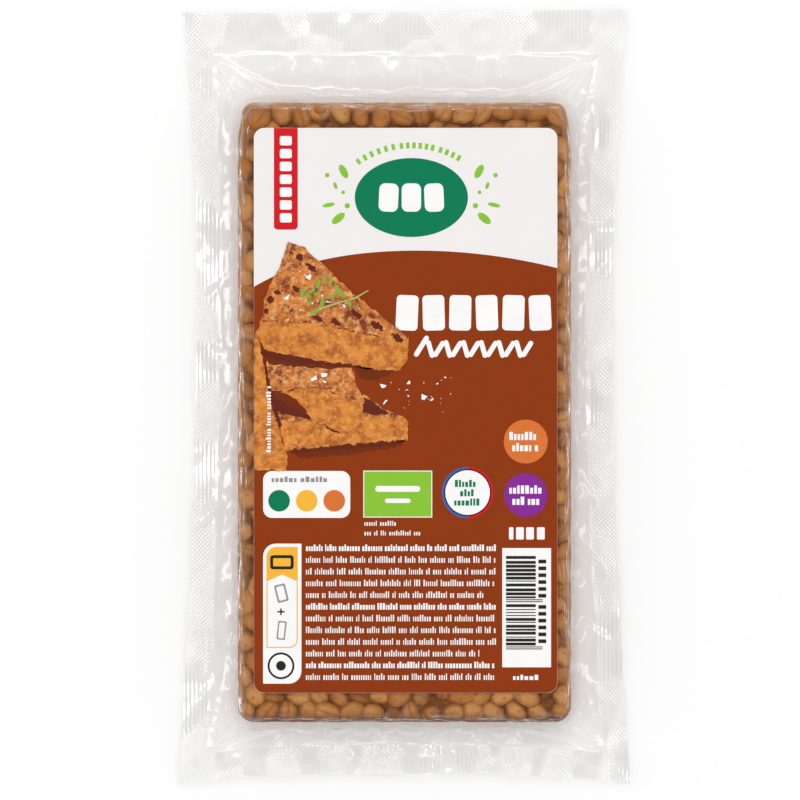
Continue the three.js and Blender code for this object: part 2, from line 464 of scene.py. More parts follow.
def lumps(x, y, size, seed):
    """Soft uneven relief between -1 and 1: the mean of waves of about one size in several directions."""
    draw = np.random.default_rng(seed)
    total = np.zeros(np.shape(x))
    waves = 9
    for angle, phase, stretch in zip(
        draw.uniform(0, TURN, waves), draw.uniform(0, TURN, waves), draw.uniform(0.7, 1.5, waves)
    ):
        total += np.sin((x * np.cos(angle) + y * np.sin(angle)) * TURN / (size * stretch) + phase)
    return total / np.sqrt(waves) / 1.5


def core_web(facing):
    """One face of the core with half of its side: a grid whose outer cells bend down round the edge."""
    u = np.linspace(-1, 1, CORE_CELLS[0] + 1)[None, :]
    v = np.linspace(-1, 1, CORE_CELLS[1] + 1)[:, None]
    y = CAKE_MIDDLE_Y + np.sign(v) * np.minimum(np.abs(v) / CORE_FLAT, 1) * (CAKE_LENGTH / 2 - CORE_INSET)
    y = np.broadcast_to(y, (v.shape[0], u.shape[1]))
    x = np.sign(u) * np.minimum(np.abs(u) / CORE_FLAT, 1) * (cake_half_width(y) - CORE_INSET)
    fall = np.clip((np.maximum(np.abs(u), np.abs(v)) - CORE_FLAT) / (1 - CORE_FLAT), 0, 1)
    inside, out_x, out_y = cake_inside(x, y)
    past = np.maximum(CORE_INSET - inside, 0)
    x = x - out_x * past
    y = y - out_y * past
    half = CAKE_TOP / 2 - CORE_DEPTH
    z = CAKE_TOP / 2 + facing * half * (1 - fall) + facing * FELT_RELIEF * lumps(x, y, 4.5, 5) * (fall == 0)
    return np.stack([x, y, z], axis=2)


core_front = core_web(1)
core_back = core_web(-1)
core_faces, own = shell_faces(*core_front.shape[:2])
core_points = np.concatenate([core_front.reshape(-1, 3), core_back[own]])
tempeh_core = mesh_piece("tempeh_core", core_points, [core_faces])
give_values(tempeh_core, side=edge_light_and_shade_share(core_points))

# %% [markdown]
# ## The film: its plan
#
# Two webs of clear film, front and back, are one closed skin here: two grids that share their outer
# points. The grid is finest where the film turns over the cake's edge and where it is folded, and coarse
# under the label, where nobody sees it.

# %% The film's grid
SKIRT = 2.6  # how far out from the cake the two webs meet
EDGE_ZONE = 4.6  # how far in from the cake's edge the fine cells begin

# Cells from the cake's middle: on the cake, over its edge, and out to the rim.
ACROSS_CELLS = (52, 20, 24)
UP_CELLS = (62, 18, 42)
DOWN_CELLS = (66, 18, 30)


def stations(cells, cake_half, rim):
    """Places of the grid lines from the cake's middle to the rim: evenly spaced in each of three zones,
    the flat of the cake, its edge with the skirt, and the margin. cake_half and rim may be arrays."""
    cake_half, rim = np.broadcast_arrays(np.asarray(cake_half, float), rim)
    cake_half, rim = cake_half[..., None], rim[..., None]
    starts = [0 * rim, cake_half - EDGE_ZONE, cake_half + SKIRT]
    ends = [cake_half - EDGE_ZONE, cake_half + SKIRT, rim]
    runs = [
        between(start, end, np.arange(number) / number)
        for start, end, number in zip(starts, ends, cells)
    ]
    return np.concatenate([*runs, rim], axis=-1)


def film_plan():
    """x and y of every grid point of the film, row by row from the bottom edge to the top."""
    down = CAKE_MIDDLE_Y - stations(DOWN_CELLS, CAKE_LENGTH / 2, HALF_LENGTH + CAKE_MIDDLE_Y)
    up = CAKE_MIDDLE_Y + stations(UP_CELLS, CAKE_LENGTH / 2, HALF_LENGTH - CAKE_MIDDLE_Y)
    y = np.concatenate([down[::-1], up[1:]])
    left = -stations(ACROSS_CELLS, cake_half_width(y), pouch_half_width(-1, y))
    right = stations(ACROSS_CELLS, cake_half_width(y), pouch_half_width(1, y))
    x = np.concatenate([left[:, ::-1], right[:, 1:]], axis=1)
    y = np.broadcast_to(y[:, None], x.shape)
    to_middle = 1 - np.clip(np.abs(x) / pouch_half_width(x, y), 0, 1) ** 3
    top_share = np.clip((y - cake_end_top) / (HALF_LENGTH - cake_end_top), 0, 1)
    bottom_share = np.clip((cake_end_bottom - y) / (cake_end_bottom + HALF_LENGTH), 0, 1)
    wander = (0.25 * lumps(x, 0 * x, 34, 11) + 0.12 * lumps(x, 0 * x, 11, 12)) * to_middle
    y = y - (TOP_BOW * to_middle + wander - TOP_TILT * x / 60) * top_share
    y = y + (BOTTOM_BOW * to_middle + wander) * bottom_share
    out_share = np.clip((np.abs(x) - CAKE_WIDTH / 2) / 11, 0, 1)
    x = x + 0.3 * out_share * lumps(y, 0 * x, 30, 13) * np.cos(TURN * y / 4 / HALF_LENGTH)
    return x, y


film_x, film_y = film_plan()
film_inside, film_out_x, film_out_y = cake_inside(film_x, film_y)
print("film grid:", film_x.shape)

# %% [markdown]
# ## The film over the beans
#
# The air presses the film onto the beans, and its own tension keeps it out of the gaps. That is a
# membrane over an obstacle: its height is the mean of its neighbours' heights, less a little for the
# pressure, but nowhere below a bean. A few dozen rounds of that rule settle it.

# %% The film over the beans
PRESSURE_STEP = 0.014  # how much the pressure lowers the film in a round
LOWEST_SAG = 0.8
FILM_LIFT = 0.04  # of the film over a bean's top


def bean_tops(facing):
    """Height of the beans over every film point, as seen from the front (1) or from the back (-1): a
    bean is a dome whose height is its half thickness times the root of 1 less the squared distances from
    its middle, along and across it, each in parts of its size."""
    level = np.abs(bean_middle[:, 2] - (CAKE_TOP if facing > 0 else 0)) < 0.4 * CAKE_TOP
    tops = np.full(film_x.shape, CAKE_TOP - LOWEST_SAG)
    row_y = film_y[:, film_y.shape[1] // 2]
    for middle, axes, size in zip(bean_middle[level], bean_axes[level], bean_size[level]):
        rows = slice(*np.searchsorted(row_y, [middle[1] - BEAN_LENGTH, middle[1] + BEAN_LENGTH]))
        dx = film_x[rows] - middle[0]
        dy = film_y[rows] - middle[1]
        along = (dx * axes[0, 0] + dy * axes[0, 1]) / size[0]
        across = (dx * axes[1, 0] + dy * axes[1, 1]) / size[1]
        dome = size[2] * np.sqrt(np.clip(1 - along**2 - across**2, 0, 1))
        rise = middle[2] if facing > 0 else CAKE_TOP - middle[2]
        tops[rows] = np.maximum(tops[rows], rise + dome)
    return np.minimum(tops, CAKE_TOP - SKIN_GAP)


def draped(tops, rounds=70):
    """Height of a film that rests on the tops."""
    film = np.full(tops.shape, CAKE_TOP - 0.05)
    for _ in range(rounds):
        mean = (film[:-2, 1:-1] + film[2:, 1:-1] + film[1:-1, :-2] + film[1:-1, 2:]) / 4
        film[1:-1, 1:-1] = np.maximum(mean - PRESSURE_STEP, tops[1:-1, 1:-1] + FILM_LIFT)
    return film


front_drape = draped(bean_tops(1))
back_drape = draped(bean_tops(-1))
print("deepest sag:", round(float(CAKE_TOP - front_drape.min()), 2), "mm")

# %% [markdown]
# ## Folds
#
# Film bends but doesn't stretch. Drawn in by the air, it has too much length round the cake, and the
# surplus stands up: fans of folds run from the inner corners of the seals to the cake's corners, swags
# hang along its ends, a crease follows each seal's inner line, and the sealed strips buckle in slanting
# waves. Each fold is a crest along a curve, and between them the film is broken into shallow facets.

# %% Folds
def ridge(start, bend, end, width, height):
    """Height of one fold over the film's points: along the curve (1-t)^2 start + 2t(1-t) bend + t^2 end,
    falling to 0 at a width from it with a sharp crest, and fading towards both ends of the curve."""
    start, bend, end = np.array(start, float), np.array(bend, float), np.array(end, float)
    steps = 24
    t = np.linspace(0, 1, steps + 1)[:, None]
    curve = (1 - t) ** 2 * start + 2 * t * (1 - t) * bend + t**2 * end
    low, high = curve.min(axis=0) - width, curve.max(axis=0) + width
    near = (film_x > low[0]) & (film_x < high[0]) & (film_y > low[1]) & (film_y < high[1])
    px, py = film_x[near], film_y[near]
    closest = np.hypot(px[:, None] - curve[:, 0], py[:, None] - curve[:, 1]).argmin(axis=1)
    tangent = np.gradient(curve, axis=0)
    step = np.linalg.norm(tangent, axis=1)
    tangent /= step[:, None]
    dx, dy = px - curve[closest, 0], py - curve[closest, 1]
    aside = np.abs(dx * tangent[closest, 1] - dy * tangent[closest, 0])
    share = (closest + (dx * tangent[closest, 0] + dy * tangent[closest, 1]) / step[closest]) / steps
    fade = ramp(share, -0.02, 0.2) * (1 - ramp(share, 0.6, 1.02))
    fold = np.zeros(film_x.shape)
    fold[near] = height * np.clip(1 - aside / width, 0, 1) ** 1.5 * fade
    return fold


fold_rng = np.random.default_rng(7)
drawn = fold_rng.uniform


def corner_fans():
    """Folds from each inner seal corner to the cake's outline on both sides of that corner."""
    folds = []
    for side in (-1, 1):
        for end, cake_y, seal, bow in (BOTTOM_END, TOP_END):
            corner_y = end * (HALF_LENGTH - seal - bow * (1.0 if end > 0 else 0.4))
            corner = np.array([side * (pouch_half_width(side, corner_y) - SIDE_SEAL), corner_y])
            for reach in (19, 12.5, 8, 4.5, 1.5):
                foot_x = side * (CAKE_WIDTH / 2 - reach + fold_rng.normal(0, 0.7))
                foot = np.array([foot_x, cake_y + end * 0.6])
                bend = between(corner, foot, 0.5) + [0, -end * reach * 0.12 + fold_rng.normal(0, 0.5)]
                folds.append((corner, bend, foot, drawn(0.9, 1.6), drawn(0.5, 0.95)))
            for reach in (2.5, 7, 13, 21):
                foot_y = cake_y - end * (reach + fold_rng.normal(0, 0.8))
                foot = np.array([side * (CAKE_WIDTH / 2 + 1.2), foot_y])
                bend = between(corner, foot, 0.5) + [-side * 0.06 * reach, fold_rng.normal(0, 0.5)]
                folds.append((corner, bend, foot, drawn(0.8, 1.3), drawn(0.35, 0.7)))
    return folds


SWAGS_FROM, SWAGS_TO = -31.0, 27


def end_swags():
    """Arcs of slack film that hang between points on the cake's two ends, with short folds off the seal."""
    folds = []
    for end, cake_y, seal, bow in (TOP_END, BOTTOM_END):
        gap = HALF_LENGTH - seal - end * cake_y
        seal_y = cake_y + end * (gap - bow)
        x = SWAGS_FROM
        while x < SWAGS_TO:
            span = drawn(5.5, 10)
            depth = drawn(0.5, 1.0) * min(gap, 6.5) * 0.9
            start = (x, cake_y + end * 0.9)
            finish = (x + span, cake_y + end * drawn(0.8, 1.6))
            bend = (x + span * drawn(0.35, 0.65), cake_y + end * depth)
            folds.append((start, bend, finish, 0.85, drawn(0.35, 0.6) * (1.5 if end < 0 else 1.0)))
            foot = (x + drawn(-1.5, 1.5), seal_y)
            tip = (x + drawn(-1.5, 1.5), cake_y + end * drawn(0.8, 0.5 * gap))
            middle = between(np.array(foot), np.array(tip), 0.5) + [fold_rng.normal(0, 1.2), 0]
            folds.append((foot, middle, tip, drawn(0.7, 1.3), drawn(0.4, 0.8)))
            if end < 0:
                for lean in (-1, 1):
                    into = (foot[0] + lean * drawn(1.5, 3.5), seal_y - drawn(3, 6.5))
                    half_way = (foot[0] + lean * 1.0, seal_y - 2)
                    folds.append((foot, half_way, into, drawn(0.9, 1.6), drawn(0.45, 0.85)))
            x += span
    return folds


SEAM_REACH = 44  # of the top seal's crease to each side


def seal_creases():
    """The crease along the inner line of the top seal, and the long creases beside the cake, in pieces."""
    folds = []
    seal_y = HALF_LENGTH - TOP_SEAL - TOP_BOW
    x = -SEAM_REACH
    while x < SEAM_REACH:
        span = drawn(9, 17)
        bend = (x + span / 2, seal_y + drawn(-0.7, 0.5))
        folds.append(((x - 1, seal_y), bend, (x + span + 1, seal_y), 0.8, drawn(0.18, 0.38)))
        x += span
    for side in (-1, 1):
        y = cake_end_bottom + 12
        while y < cake_end_top - 14:
            span = drawn(9, 20)
            line = pouch_half_width(side, y) - SIDE_SEAL + drawn(-0.5, 0.8)
            next_line = line + drawn(-0.8, 0.8)
            bend = (side * (line + drawn(-0.8, 0.8)), y + span / 2)
            folds.append(((side * line, y), bend, (side * next_line, y + span), 0.9, drawn(0.35, 0.6)))
            if drawn() < 0.75:
                lean = drawn(6, 12) * fold_rng.choice([-1, 1])
                out = (side * (line + drawn(3, 6)), y + lean * 0.7)
                foot = (side * (CAKE_WIDTH / 2 + 1.0), y - lean * 0.3)
                middle = between(np.array(out), np.array(foot), 0.5) + [0, fold_rng.normal(0, 0.8)]
                folds.append((out, middle, foot, drawn(0.9, 1.5), drawn(0.35, 0.7)))
            y += span
    return folds


# %% [markdown]
# ## Facets and tents
#
# Between the folds, slack film breaks into shallow bowls that meet in crests. Where it runs into the
# bottom seal it stands up in little three-sided tents. The film's relief is the highest, at each point,
# of all its tents and folds.

# %% Facets and tents
def facets(x, y, size, rise, seed):
    """Shallow bowls that meet in sharp crests: the least, over scattered middles, of a rise that grows
    with the squared distance from the middle, plus a tilt of that bowl's own."""
    draw = np.random.default_rng(seed)
    cells = [int(np.ptp(axis) / size) + 3 for axis in (x, y)]
    column, row = np.meshgrid(np.arange(cells[0]), np.arange(cells[1]))
    spots = np.stack([column, row], axis=2) + draw.uniform(0, 1, (cells[1], cells[0], 2))
    tilt = draw.normal(0, 0.35 * rise / size, spots.shape)
    lift = draw.uniform(0, rise, spots.shape[:2])
    u, v = (x - x.min()) / size + 1, (y - y.min()) / size + 1
    lowest = np.full(x.shape, np.inf)
    for i in (-1, 0, 1):
        for j in (-1, 0, 1):
            a = np.clip(np.floor(u).astype(int) + i, 0, cells[0] - 1)
            b = np.clip(np.floor(v).astype(int) + j, 0, cells[1] - 1)
            du, dv = u - spots[b, a, 0], v - spots[b, a, 1]
            leaning = size * (du * tilt[b, a, 0] + dv * tilt[b, a, 1])
            lowest = np.minimum(lowest, 4 * rise * (du**2 + dv**2) + lift[b, a] + leaning)
    return lowest


# Where the bottom seal ends, and the tents of film on it: each one's place and width along the seal.
SEAL_LINE = cake_end_bottom - 5.8
GUSSETS = [(-32.5, 6.5), (-20.5, 4.5), (-6.0, 8.0), (9.0, 5.0), (19.5, 4.0), (29.5, 6.0)]
GUSSET_LENGTH = 4.0
GUSSET_SLOPE = 0.32  # leans its face towards the front lamp
GUSSET_FALL = 1.3  # steepness of its two sides


def gusset(middle, width):
    """A three-sided tent: the least of a plane that climbs from the seal and two that fall to its sides."""
    climb = film_y - SEAL_LINE
    reach = width / 2 * (1 - climb / GUSSET_LENGTH) - np.abs(film_x - middle)
    return np.clip(np.minimum(GUSSET_SLOPE * climb, GUSSET_FALL * reach), 0, None)


fold_rise = np.zeros(film_x.shape)
for place, width in GUSSETS:
    fold_rise = np.maximum(fold_rise, gusset(place, width))
all_folds = corner_fans() + end_swags() + seal_creases()
for fold in all_folds:
    fold_rise = np.maximum(fold_rise, ridge(*fold))
print(len(all_folds), "folds, the highest", round(float(fold_rise.max()), 2), "mm")

# %% [markdown]
# ## The film's two webs
#
# The front web runs flat over the cake, turns over its edge, drops down its side and meets the back web
# in a skirt. From there both run out together, drooping towards the rim. Every height is a blend between
# two of these, by how far the point is inside the cake's outline.

# %% The film's two webs
SEAM_HEIGHT = 3.3
SEAM_DROOP = 1.5
FILM_GAP = 0.12  # between the two webs where they lie together
APRON_REACH = 4.5  # how far out from the cake the film begins to climb to it
APRON_LENGTH = 3.4
APRON_RISE = 2.4
APRON_SIDE, APRON_TOP = 0.5, 0.30  # its slope there
HEM_WIDTH, HEM_HEIGHT = 0.42, 0.55  # of the two creases along the cake's edge
CRUMPLE = 6.0, 0.17  # size and rise of the bowls
FINE_CRUMPLE = 2.9, 0.035
WAVE = 0.30  # height of the rim's long waves
EDGE_TURN = 1.1  # how far in from the cake's edge the film begins to turn over


def in_seal():
    """1 in the sealed strips, 0 in the slack film, by the distance to the pouch's edges."""
    side = pouch_half_width(film_x, film_y) - np.abs(film_x)
    top = HALF_LENGTH - TOP_BOW - film_y
    bottom = film_y + HALF_LENGTH - BOTTOM_BOW * (1 - np.clip(np.abs(film_x) / 60, 0, 1) ** 3)
    sealed = [
        1 - ramp(distance, width - 0.5, width + 0.5)
        for distance, width in ((side, SIDE_SEAL), (top, TOP_SEAL), (bottom, BOTTOM_SEAL))
    ]
    return np.maximum.reduce(sealed)


def margin_share():
    """0 at the cake's outline and 1 at the rim."""
    half = cake_half_width(film_y)
    side = (np.abs(film_x) - half) / (pouch_half_width(film_x, film_y) - half)
    top = (film_y - cake_end_top) / (HALF_LENGTH - cake_end_top)
    bottom = (cake_end_bottom - film_y) / (cake_end_bottom + HALF_LENGTH)
    return np.clip(np.maximum.reduce([side, top, bottom]), 0, 1)


def smoother(t):
    """Rises from 0 to 1 with no change of slope at either end: 6t^5 - 15t^4 + 10t^3."""
    t = np.clip(t, 0, 1)
    return t**3 * (t * (6 * t - 15) + 10)


def film_webs():
    """Heights of the front and the back web, and where the film is sealed."""
    x, y = film_x, film_y
    share, sealed = margin_share(), in_seal()
    slack = ramp(-film_inside, 0.4, 2.4)
    droop = SEAM_DROOP * share**1.4
    slow = WAVE * share * (np.sin(TURN * y / 58 + 0.6) + np.sin(TURN * x / 41 + 1.1))
    buckle = 0.30 * lumps(x + y, 0.45 * (x - y), 17, 21) + 0.13 * lumps(x - y, 0.4 * (x + y), 9, 22)
    buckle = buckle * ramp(share, 0.2, 0.7) * (1 + 1.0 * ramp(-y, 93, 98))
    crumple = facets(x, y, *CRUMPLE, 23) * (1 - 0.65 * sealed)
    fine = facets(x, y, *FINE_CRUMPLE, 24) * (1 - 0.9 * sealed)
    hems = [
        np.exp(-(((film_inside - middle - 0.8 * lumps(x, y, size, seed)) / HEM_WIDTH) ** 2))
        for middle, size, seed in ((0.6, 12, 27), (-0.6, 9, 28))
    ]
    hem = HEM_HEIGHT * np.maximum(*hems)
    slope = APRON_SIDE * np.abs(film_out_x) + APRON_TOP * np.clip(film_out_y, 0, None)
    way = np.clip((film_inside + APRON_REACH + 0.9 * lumps(x, y, 8, 35)) / APRON_LENGTH, 0, 1)
    apron = APRON_RISE * slope * (0.8 + 0.5 * lumps(x, y, 15, 33)) * (way - np.sin(TURN * way) / TURN)
    middle = SEAM_HEIGHT - droop + slow + buckle + apron + slack * (fold_rise + crumple + fine - 0.25)
    foot = 1.9 + 0.75 * lumps(x, y, 7, 25)
    shift = 0.22 * lumps(x, y, 5.5, 26)
    rise = smoother((film_inside + foot) / (foot + EDGE_TURN + shift))
    front = between(middle + FILM_GAP / 2, front_drape, rise) + hem * (1 - rise**3)
    fall = smoother((1.2 - film_inside) / (1.2 + foot))
    back = between(CAKE_TOP - back_drape, middle - FILM_GAP / 2, fall)
    rim = ramp(share, 0.97, 1.0)
    return between(front, middle, rim), between(back, middle, rim), sealed


film_front, film_back, film_sealed = film_webs()
front_points = np.stack([film_x, film_y, film_front], axis=2)
back_points = np.stack([film_x, film_y, np.minimum(film_back, film_front - 0.05)], axis=2)
back_points[[0, -1]] = front_points[[0, -1]]
back_points[:, [0, -1]] = front_points[:, [0, -1]]
film_faces, film_own = shell_faces(*film_x.shape)
pouch_film = mesh_piece(
    "pouch_film",
    np.concatenate([front_points.reshape(-1, 3), back_points[film_own]]),
    [film_faces],
    replaces=["vacuum_pouch"],
)

# %% [markdown]
# ## What the film's finish needs to know
#
# The finish differs from place to place: the film is pressed by the seal's tools, clings to the cake, is
# bunched where it turns over the edge, and is duller towards the rim. None of this can be told from the
# shape alone, so each point carries it as numbers.

# %% What the film's finish needs to know
BITE_PLAIN = 0.75  # how well the tool's pattern took, away from the bottom seal
cling = ramp(film_inside, 1.2, 3.4)
at_bottom = ramp(-film_y, 84, 90)
bunch_middle = between(0.3, -1.4, at_bottom)
bunch_width = between(np.where(film_inside > bunch_middle, 2.2, 1.6), 1.3, at_bottom)
bunched = np.exp(-(((film_inside - bunch_middle) / bunch_width) ** 2)) * between(1, 0.35, at_bottom)
low_edge = at_bottom * np.clip(-film_out_y, 0, 1)


def tool_patches():
    """Where the sealing tool's pattern took well: in patches, and below each tent of the bottom seal."""
    patches = ramp(lumps(film_x, 0.45 * film_y, 14, 31), -0.25, 0.4)
    for place, width in GUSSETS:
        reach = width / 2 + 0.8 + 1.2 * lumps(film_x, film_y, 5, 34)
        patches = np.maximum(patches, at_bottom * ramp(reach - np.abs(film_x - place), -2.5, 2.5))
    return patches


# The film's dullness, with the right side greyer than the left as painted shade.
LEFT_DULL, RIGHT_DULL_AND_SHADE, END_DULL, BOTTOM_DULL = 0.5, 0.85, 0.25, 0.32


def film_greyness(patches):
    """How dull the film is: more towards its side edges, and at the right one more as painted shade, a
    little at its ends, and in the bottom seal.
    """
    half = cake_half_width(film_y)
    side = np.clip((np.abs(film_x) - half) / (pouch_half_width(film_x, film_y) - half), 0, 1)
    # Greyer on the right than on the left: painted shade.
    dull = side**1.5 * between(LEFT_DULL, RIGHT_DULL_AND_SHADE, ramp(film_x, -20, 60)) * (1 - 0.3 * patches)
    dull = np.maximum(dull, END_DULL * margin_share() ** 2)
    return np.maximum(dull, at_bottom * film_sealed * BOTTOM_DULL)


patches = tool_patches()
bite = film_sealed * between(BITE_PLAIN, 0.05 + 1.15 * patches, 0.35 + 0.65 * at_bottom)
film_values = {
    "sealed": film_sealed,
    "cling": cling,
    "low_edge": low_edge,
    "inside": film_inside,
    "bunched": bunched,
    "bite": bite,
    "greyed": film_greyness(patches),
}
for name, over_grid in film_values.items():
    give_values(pouch_film, **{name: np.concatenate([over_grid.ravel(), over_grid[film_own]])})


def crisp_rim(piece, rows, columns):
    """Marks the edges round a film's rim as sharp, so that each web is shaded flat right up to it."""
    on_rim = np.zeros((rows, columns), bool)
    on_rim[[0, -1], :] = True
    on_rim[:, [0, -1]] = True
    on_rim = np.concatenate([on_rim.ravel(), np.zeros(len(piece.data.vertices) - rows * columns, bool)])
    ends = np.empty(2 * len(piece.data.edges), np.int32)
    piece.data.edges.foreach_get("vertices", ends)
    piece.data.edges.foreach_set("use_edge_sharp", on_rim[ends].reshape(-1, 2).all(axis=1))


crisp_rim(pouch_film, *film_x.shape)

# %% [markdown]
# ## Shader maths as Python
#
# A material is a graph of nodes, and a graph of sums is hard to read as calls. This class wraps one
# socket and gives it Python's operators, so that `1 - mask * 0.5` adds the Math nodes it needs. Any other
# node comes from `add`, which takes its kind, its settings and its inputs.

# %% Shader maths as Python
class Wire:
    """An output socket of a node tree that plain arithmetic works on."""

    def __init__(self, tree, socket=None):
        self.tree = tree
        self.socket = socket

    def add(self, kind, settings=None, inputs=None, output=0):
        """Adds a node, sets its settings, then gives each input its value or its link."""
        node = self.tree.nodes.new("ShaderNode" + kind)
        for key, value in (settings or {}).items():
            setattr(node, key, value)
        for key, value in (inputs or {}).items():
            if isinstance(value, Wire):
                self.tree.links.new(value.socket, node.inputs[key])
            else:
                node.inputs[key].default_value = value
        return Wire(self.tree, node.outputs[output])

    def maths(self, operation, first, second=0.0):
        return self.add("Math", {"operation": operation}, {0: first, 1: second})

    def __add__(self, other):
        return self.maths("ADD", self, other)

    def __radd__(self, other):
        return self.maths("ADD", other, self)

    def __sub__(self, other):
        return self.maths("SUBTRACT", self, other)

    def __rsub__(self, other):
        return self.maths("SUBTRACT", other, self)

    def __mul__(self, other):
        return self.maths("MULTIPLY", self, other)

    def __rmul__(self, other):
        return self.maths("MULTIPLY", other, self)

    def __pow__(self, other):
        return self.maths("POWER", self, other)

    def held(self):
        """The value kept between 0 and 1."""
        return self.add("Clamp", inputs={"Value": self})

    def spread(self, low, high):
        """Takes values from low to high to 0 to 1, and holds them there."""
        return self.add("MapRange", inputs={"Value": self, "From Min": low, "From Max": high})

    def noise(self, place, size, detail=2.0, rough=0.5):
        """Soft noise about 0.5 whose blobs are about one size across, in millimetres."""
        return self.add(
            "TexNoise", inputs={"Vector": place, "Scale": 1 / size, "Detail": detail, "Roughness": rough}
        )

    def mixed(self, first, second):
        """A colour between two colours, with this value as the factor."""
        first, second = ((*end, 1) if isinstance(end, tuple) else end for end in (first, second))
        return self.add("Mix", {"data_type": "RGBA"}, {0: self, 6: first, 7: second}, output=2)

    def bumped(self, height, strength=1.0, distance=0.1):
        """A normal tipped by a height in millimetres."""
        return self.add("Bump", inputs={"Height": height, "Strength": strength, "Distance": distance * MM})

    def carried(self, *names):
        """The numbers that the piece's points carry under these names."""
        return [self.add("Attribute", {"attribute_name": name}, output=2) for name in names]

    def principled(self, colour, roughness, normal, **more):
        """A Principled shader. More of its inputs go by their names, with _ for each space."""
        inputs = {"Base Color": colour, "Roughness": roughness, "Normal": normal}
        inputs.update({name.replace("_", " "): value for name, value in more.items()})
        return self.add("BsdfPrincipled", inputs=inputs)


def new_material(name):
    """An empty material, a wire to build it with, and its Object coordinates in millimetres."""
    material = bpy.data.materials.new(name)
    material.use_nodes = True
    tree = material.node_tree
    tree.nodes.clear()
    start = Wire(tree)
    place = start.add("TexCoord", output="Object")
    place = start.add("VectorMath", {"operation": "SCALE"}, {0: place, "Scale": 1 / MM})
    return material, start, place


def finish_material(material, surface):
    """Links a shader to the material's output."""
    output = material.node_tree.nodes.new("ShaderNodeOutputMaterial")
    material.node_tree.links.new(surface.socket, output.inputs["Surface"])
    return material


# %% [markdown]
# ## Beans and core: the finish
#
# Smoked tempeh is tan, and a bean's skin has a faint mottle and a dark line where its halves meet. Over
# that the colour carries painted shade and light: dark brown in the gaps by how deep a point lies, darker
# down each bean's sloping sides and along the edge of the bottom end, and lighter along the cake's sides.
# The colour therefore reads four things that each bean carries: its own tone, the place along and across
# it, how deep a point lies, and how near the cake's side it is.

# %% Beans and core: the finish
BEAN_LIGHT = (0.53, 0.250, 0.078)
BEAN_DARK = (0.34, 0.120, 0.022)
# Painted shade for the sloping sides of each bean.
BEAN_PAINTED_SIDE_SHADE = (0.24, 0.070, 0.010)
# Painted shade: the colour of the gaps between beans, also used along the bottom end's edge.
BEAN_PAINTED_DEEP_SHADE = (0.100, 0.024, 0.003)
BEAN_LINE = (0.26, 0.080, 0.014)
# Painted light along the cake's sides, on beans and core.
PAINTED_EDGE_LIGHT = (0.44, 0.20, 0.062)
FELT_DARK = (0.080, 0.022, 0.003)
FELT_LIGHT = (0.28, 0.100, 0.018)


def bean_finish():
    material, start, place = new_material("bean_skin")
    names = ("tone", "depth", "across", "rise", "along", "split", "side")
    tone, depth, across, rise, along, split, side = start.carried(*names)
    blotch = start.noise(place, 2.6, 3.0)
    speck = start.noise(place, 0.55, 2.0)
    # The bean's own tone and mottle, made darker with depth as painted shade.
    shade = (tone * 0.8 + blotch * 0.9 - 0.25 - depth * 0.4 + (speck - 0.5) * 0.9).held()
    skin = shade.mixed(BEAN_DARK, BEAN_LIGHT)
    off_line = start.maths("ABSOLUTE", across + (blotch - 0.5) * 0.3)
    line = (1 - off_line.spread(0.0, 0.16)) * rise.spread(0.1, 0.5)
    line = line * (1 - start.maths("ABSOLUTE", along).spread(0.55, 0.95)) * split
    skin = (line * 0.8).mixed(skin, BEAN_LINE)
    eye = ((along - 0.1) * (along - 0.1) + (across - 0.3) * (across - 0.3)).spread(0.035, 0.008)
    skin = (eye * rise.spread(0.5, 0.7) * (1 - split).spread(0.9, 1.0) * 0.5).mixed(skin, BEAN_LINE)
    # Below 0 the side share marks the bottom end's edge for painted shade, above 0 the cake's sides for
    # painted light.
    dim, side = (0 - side).held(), start.maths("MAXIMUM", side, 0.0)
    # Less painted shade on the beans towards the cake's sides, where painted light goes instead.
    flat_lit = (1 - 0.6 * side).held()
    # Painted shade: darker down each bean's sides, away from its top.
    skin = ((1 - rise.spread(0.30, 0.85)) * 0.75 * flat_lit).mixed(skin, BEAN_PAINTED_SIDE_SHADE)
    # Painted shade: dark brown in the gaps, by how deep a point lies.
    skin = ((depth + (blotch - 0.5) * 0.8).spread(0.25, 1.5) * flat_lit).mixed(skin, BEAN_PAINTED_DEEP_SHADE)
    # Painted light: lighter towards the cake's sides.
    skin = (side * 0.3).mixed(skin, PAINTED_EDGE_LIGHT)
    # Painted shade along the edge of the bottom end.
    skin = (dim * 0.6).mixed(skin, BEAN_PAINTED_DEEP_SHADE)
    bump = start.bumped(speck * 0.5 + blotch - line * 1.5, 0.5, 0.15)
    surface = start.principled(
        skin,
        (0.34 + blotch * 0.25).held(),
        bump,
        Specular_IOR_Level=0.1,
        Subsurface_Weight=0.08,
        Subsurface_Radius=(1.0, 0.4, 0.15),
        Subsurface_Scale=0.0012,
    )
    return finish_material(material, surface)


def core_finish():
    material, start, place = new_material("brown_felt")
    blotch = start.noise(place, 2.2, 3.0)
    fibre = start.noise(place, 0.4, 3.0, 0.7)
    (side,) = start.carried("side")
    colour = (blotch * 1.4 + fibre * 0.5 - 0.55).held().mixed(FELT_DARK, FELT_LIGHT)
    # Painted light: lighter towards the cake's sides.
    colour = (side * (0.5 + fibre * 0.7)).held().mixed(colour, PAINTED_EDGE_LIGHT)
    normal = start.bumped(fibre + blotch, 0.7, 0.25)
    surface = start.principled(colour, (0.5 + fibre * 0.3).held(), normal, Specular_IOR_Level=0.1)
    return finish_material(material, surface)


soybeans.data.materials.append(bean_finish())
tempeh_core.data.materials.append(core_finish())

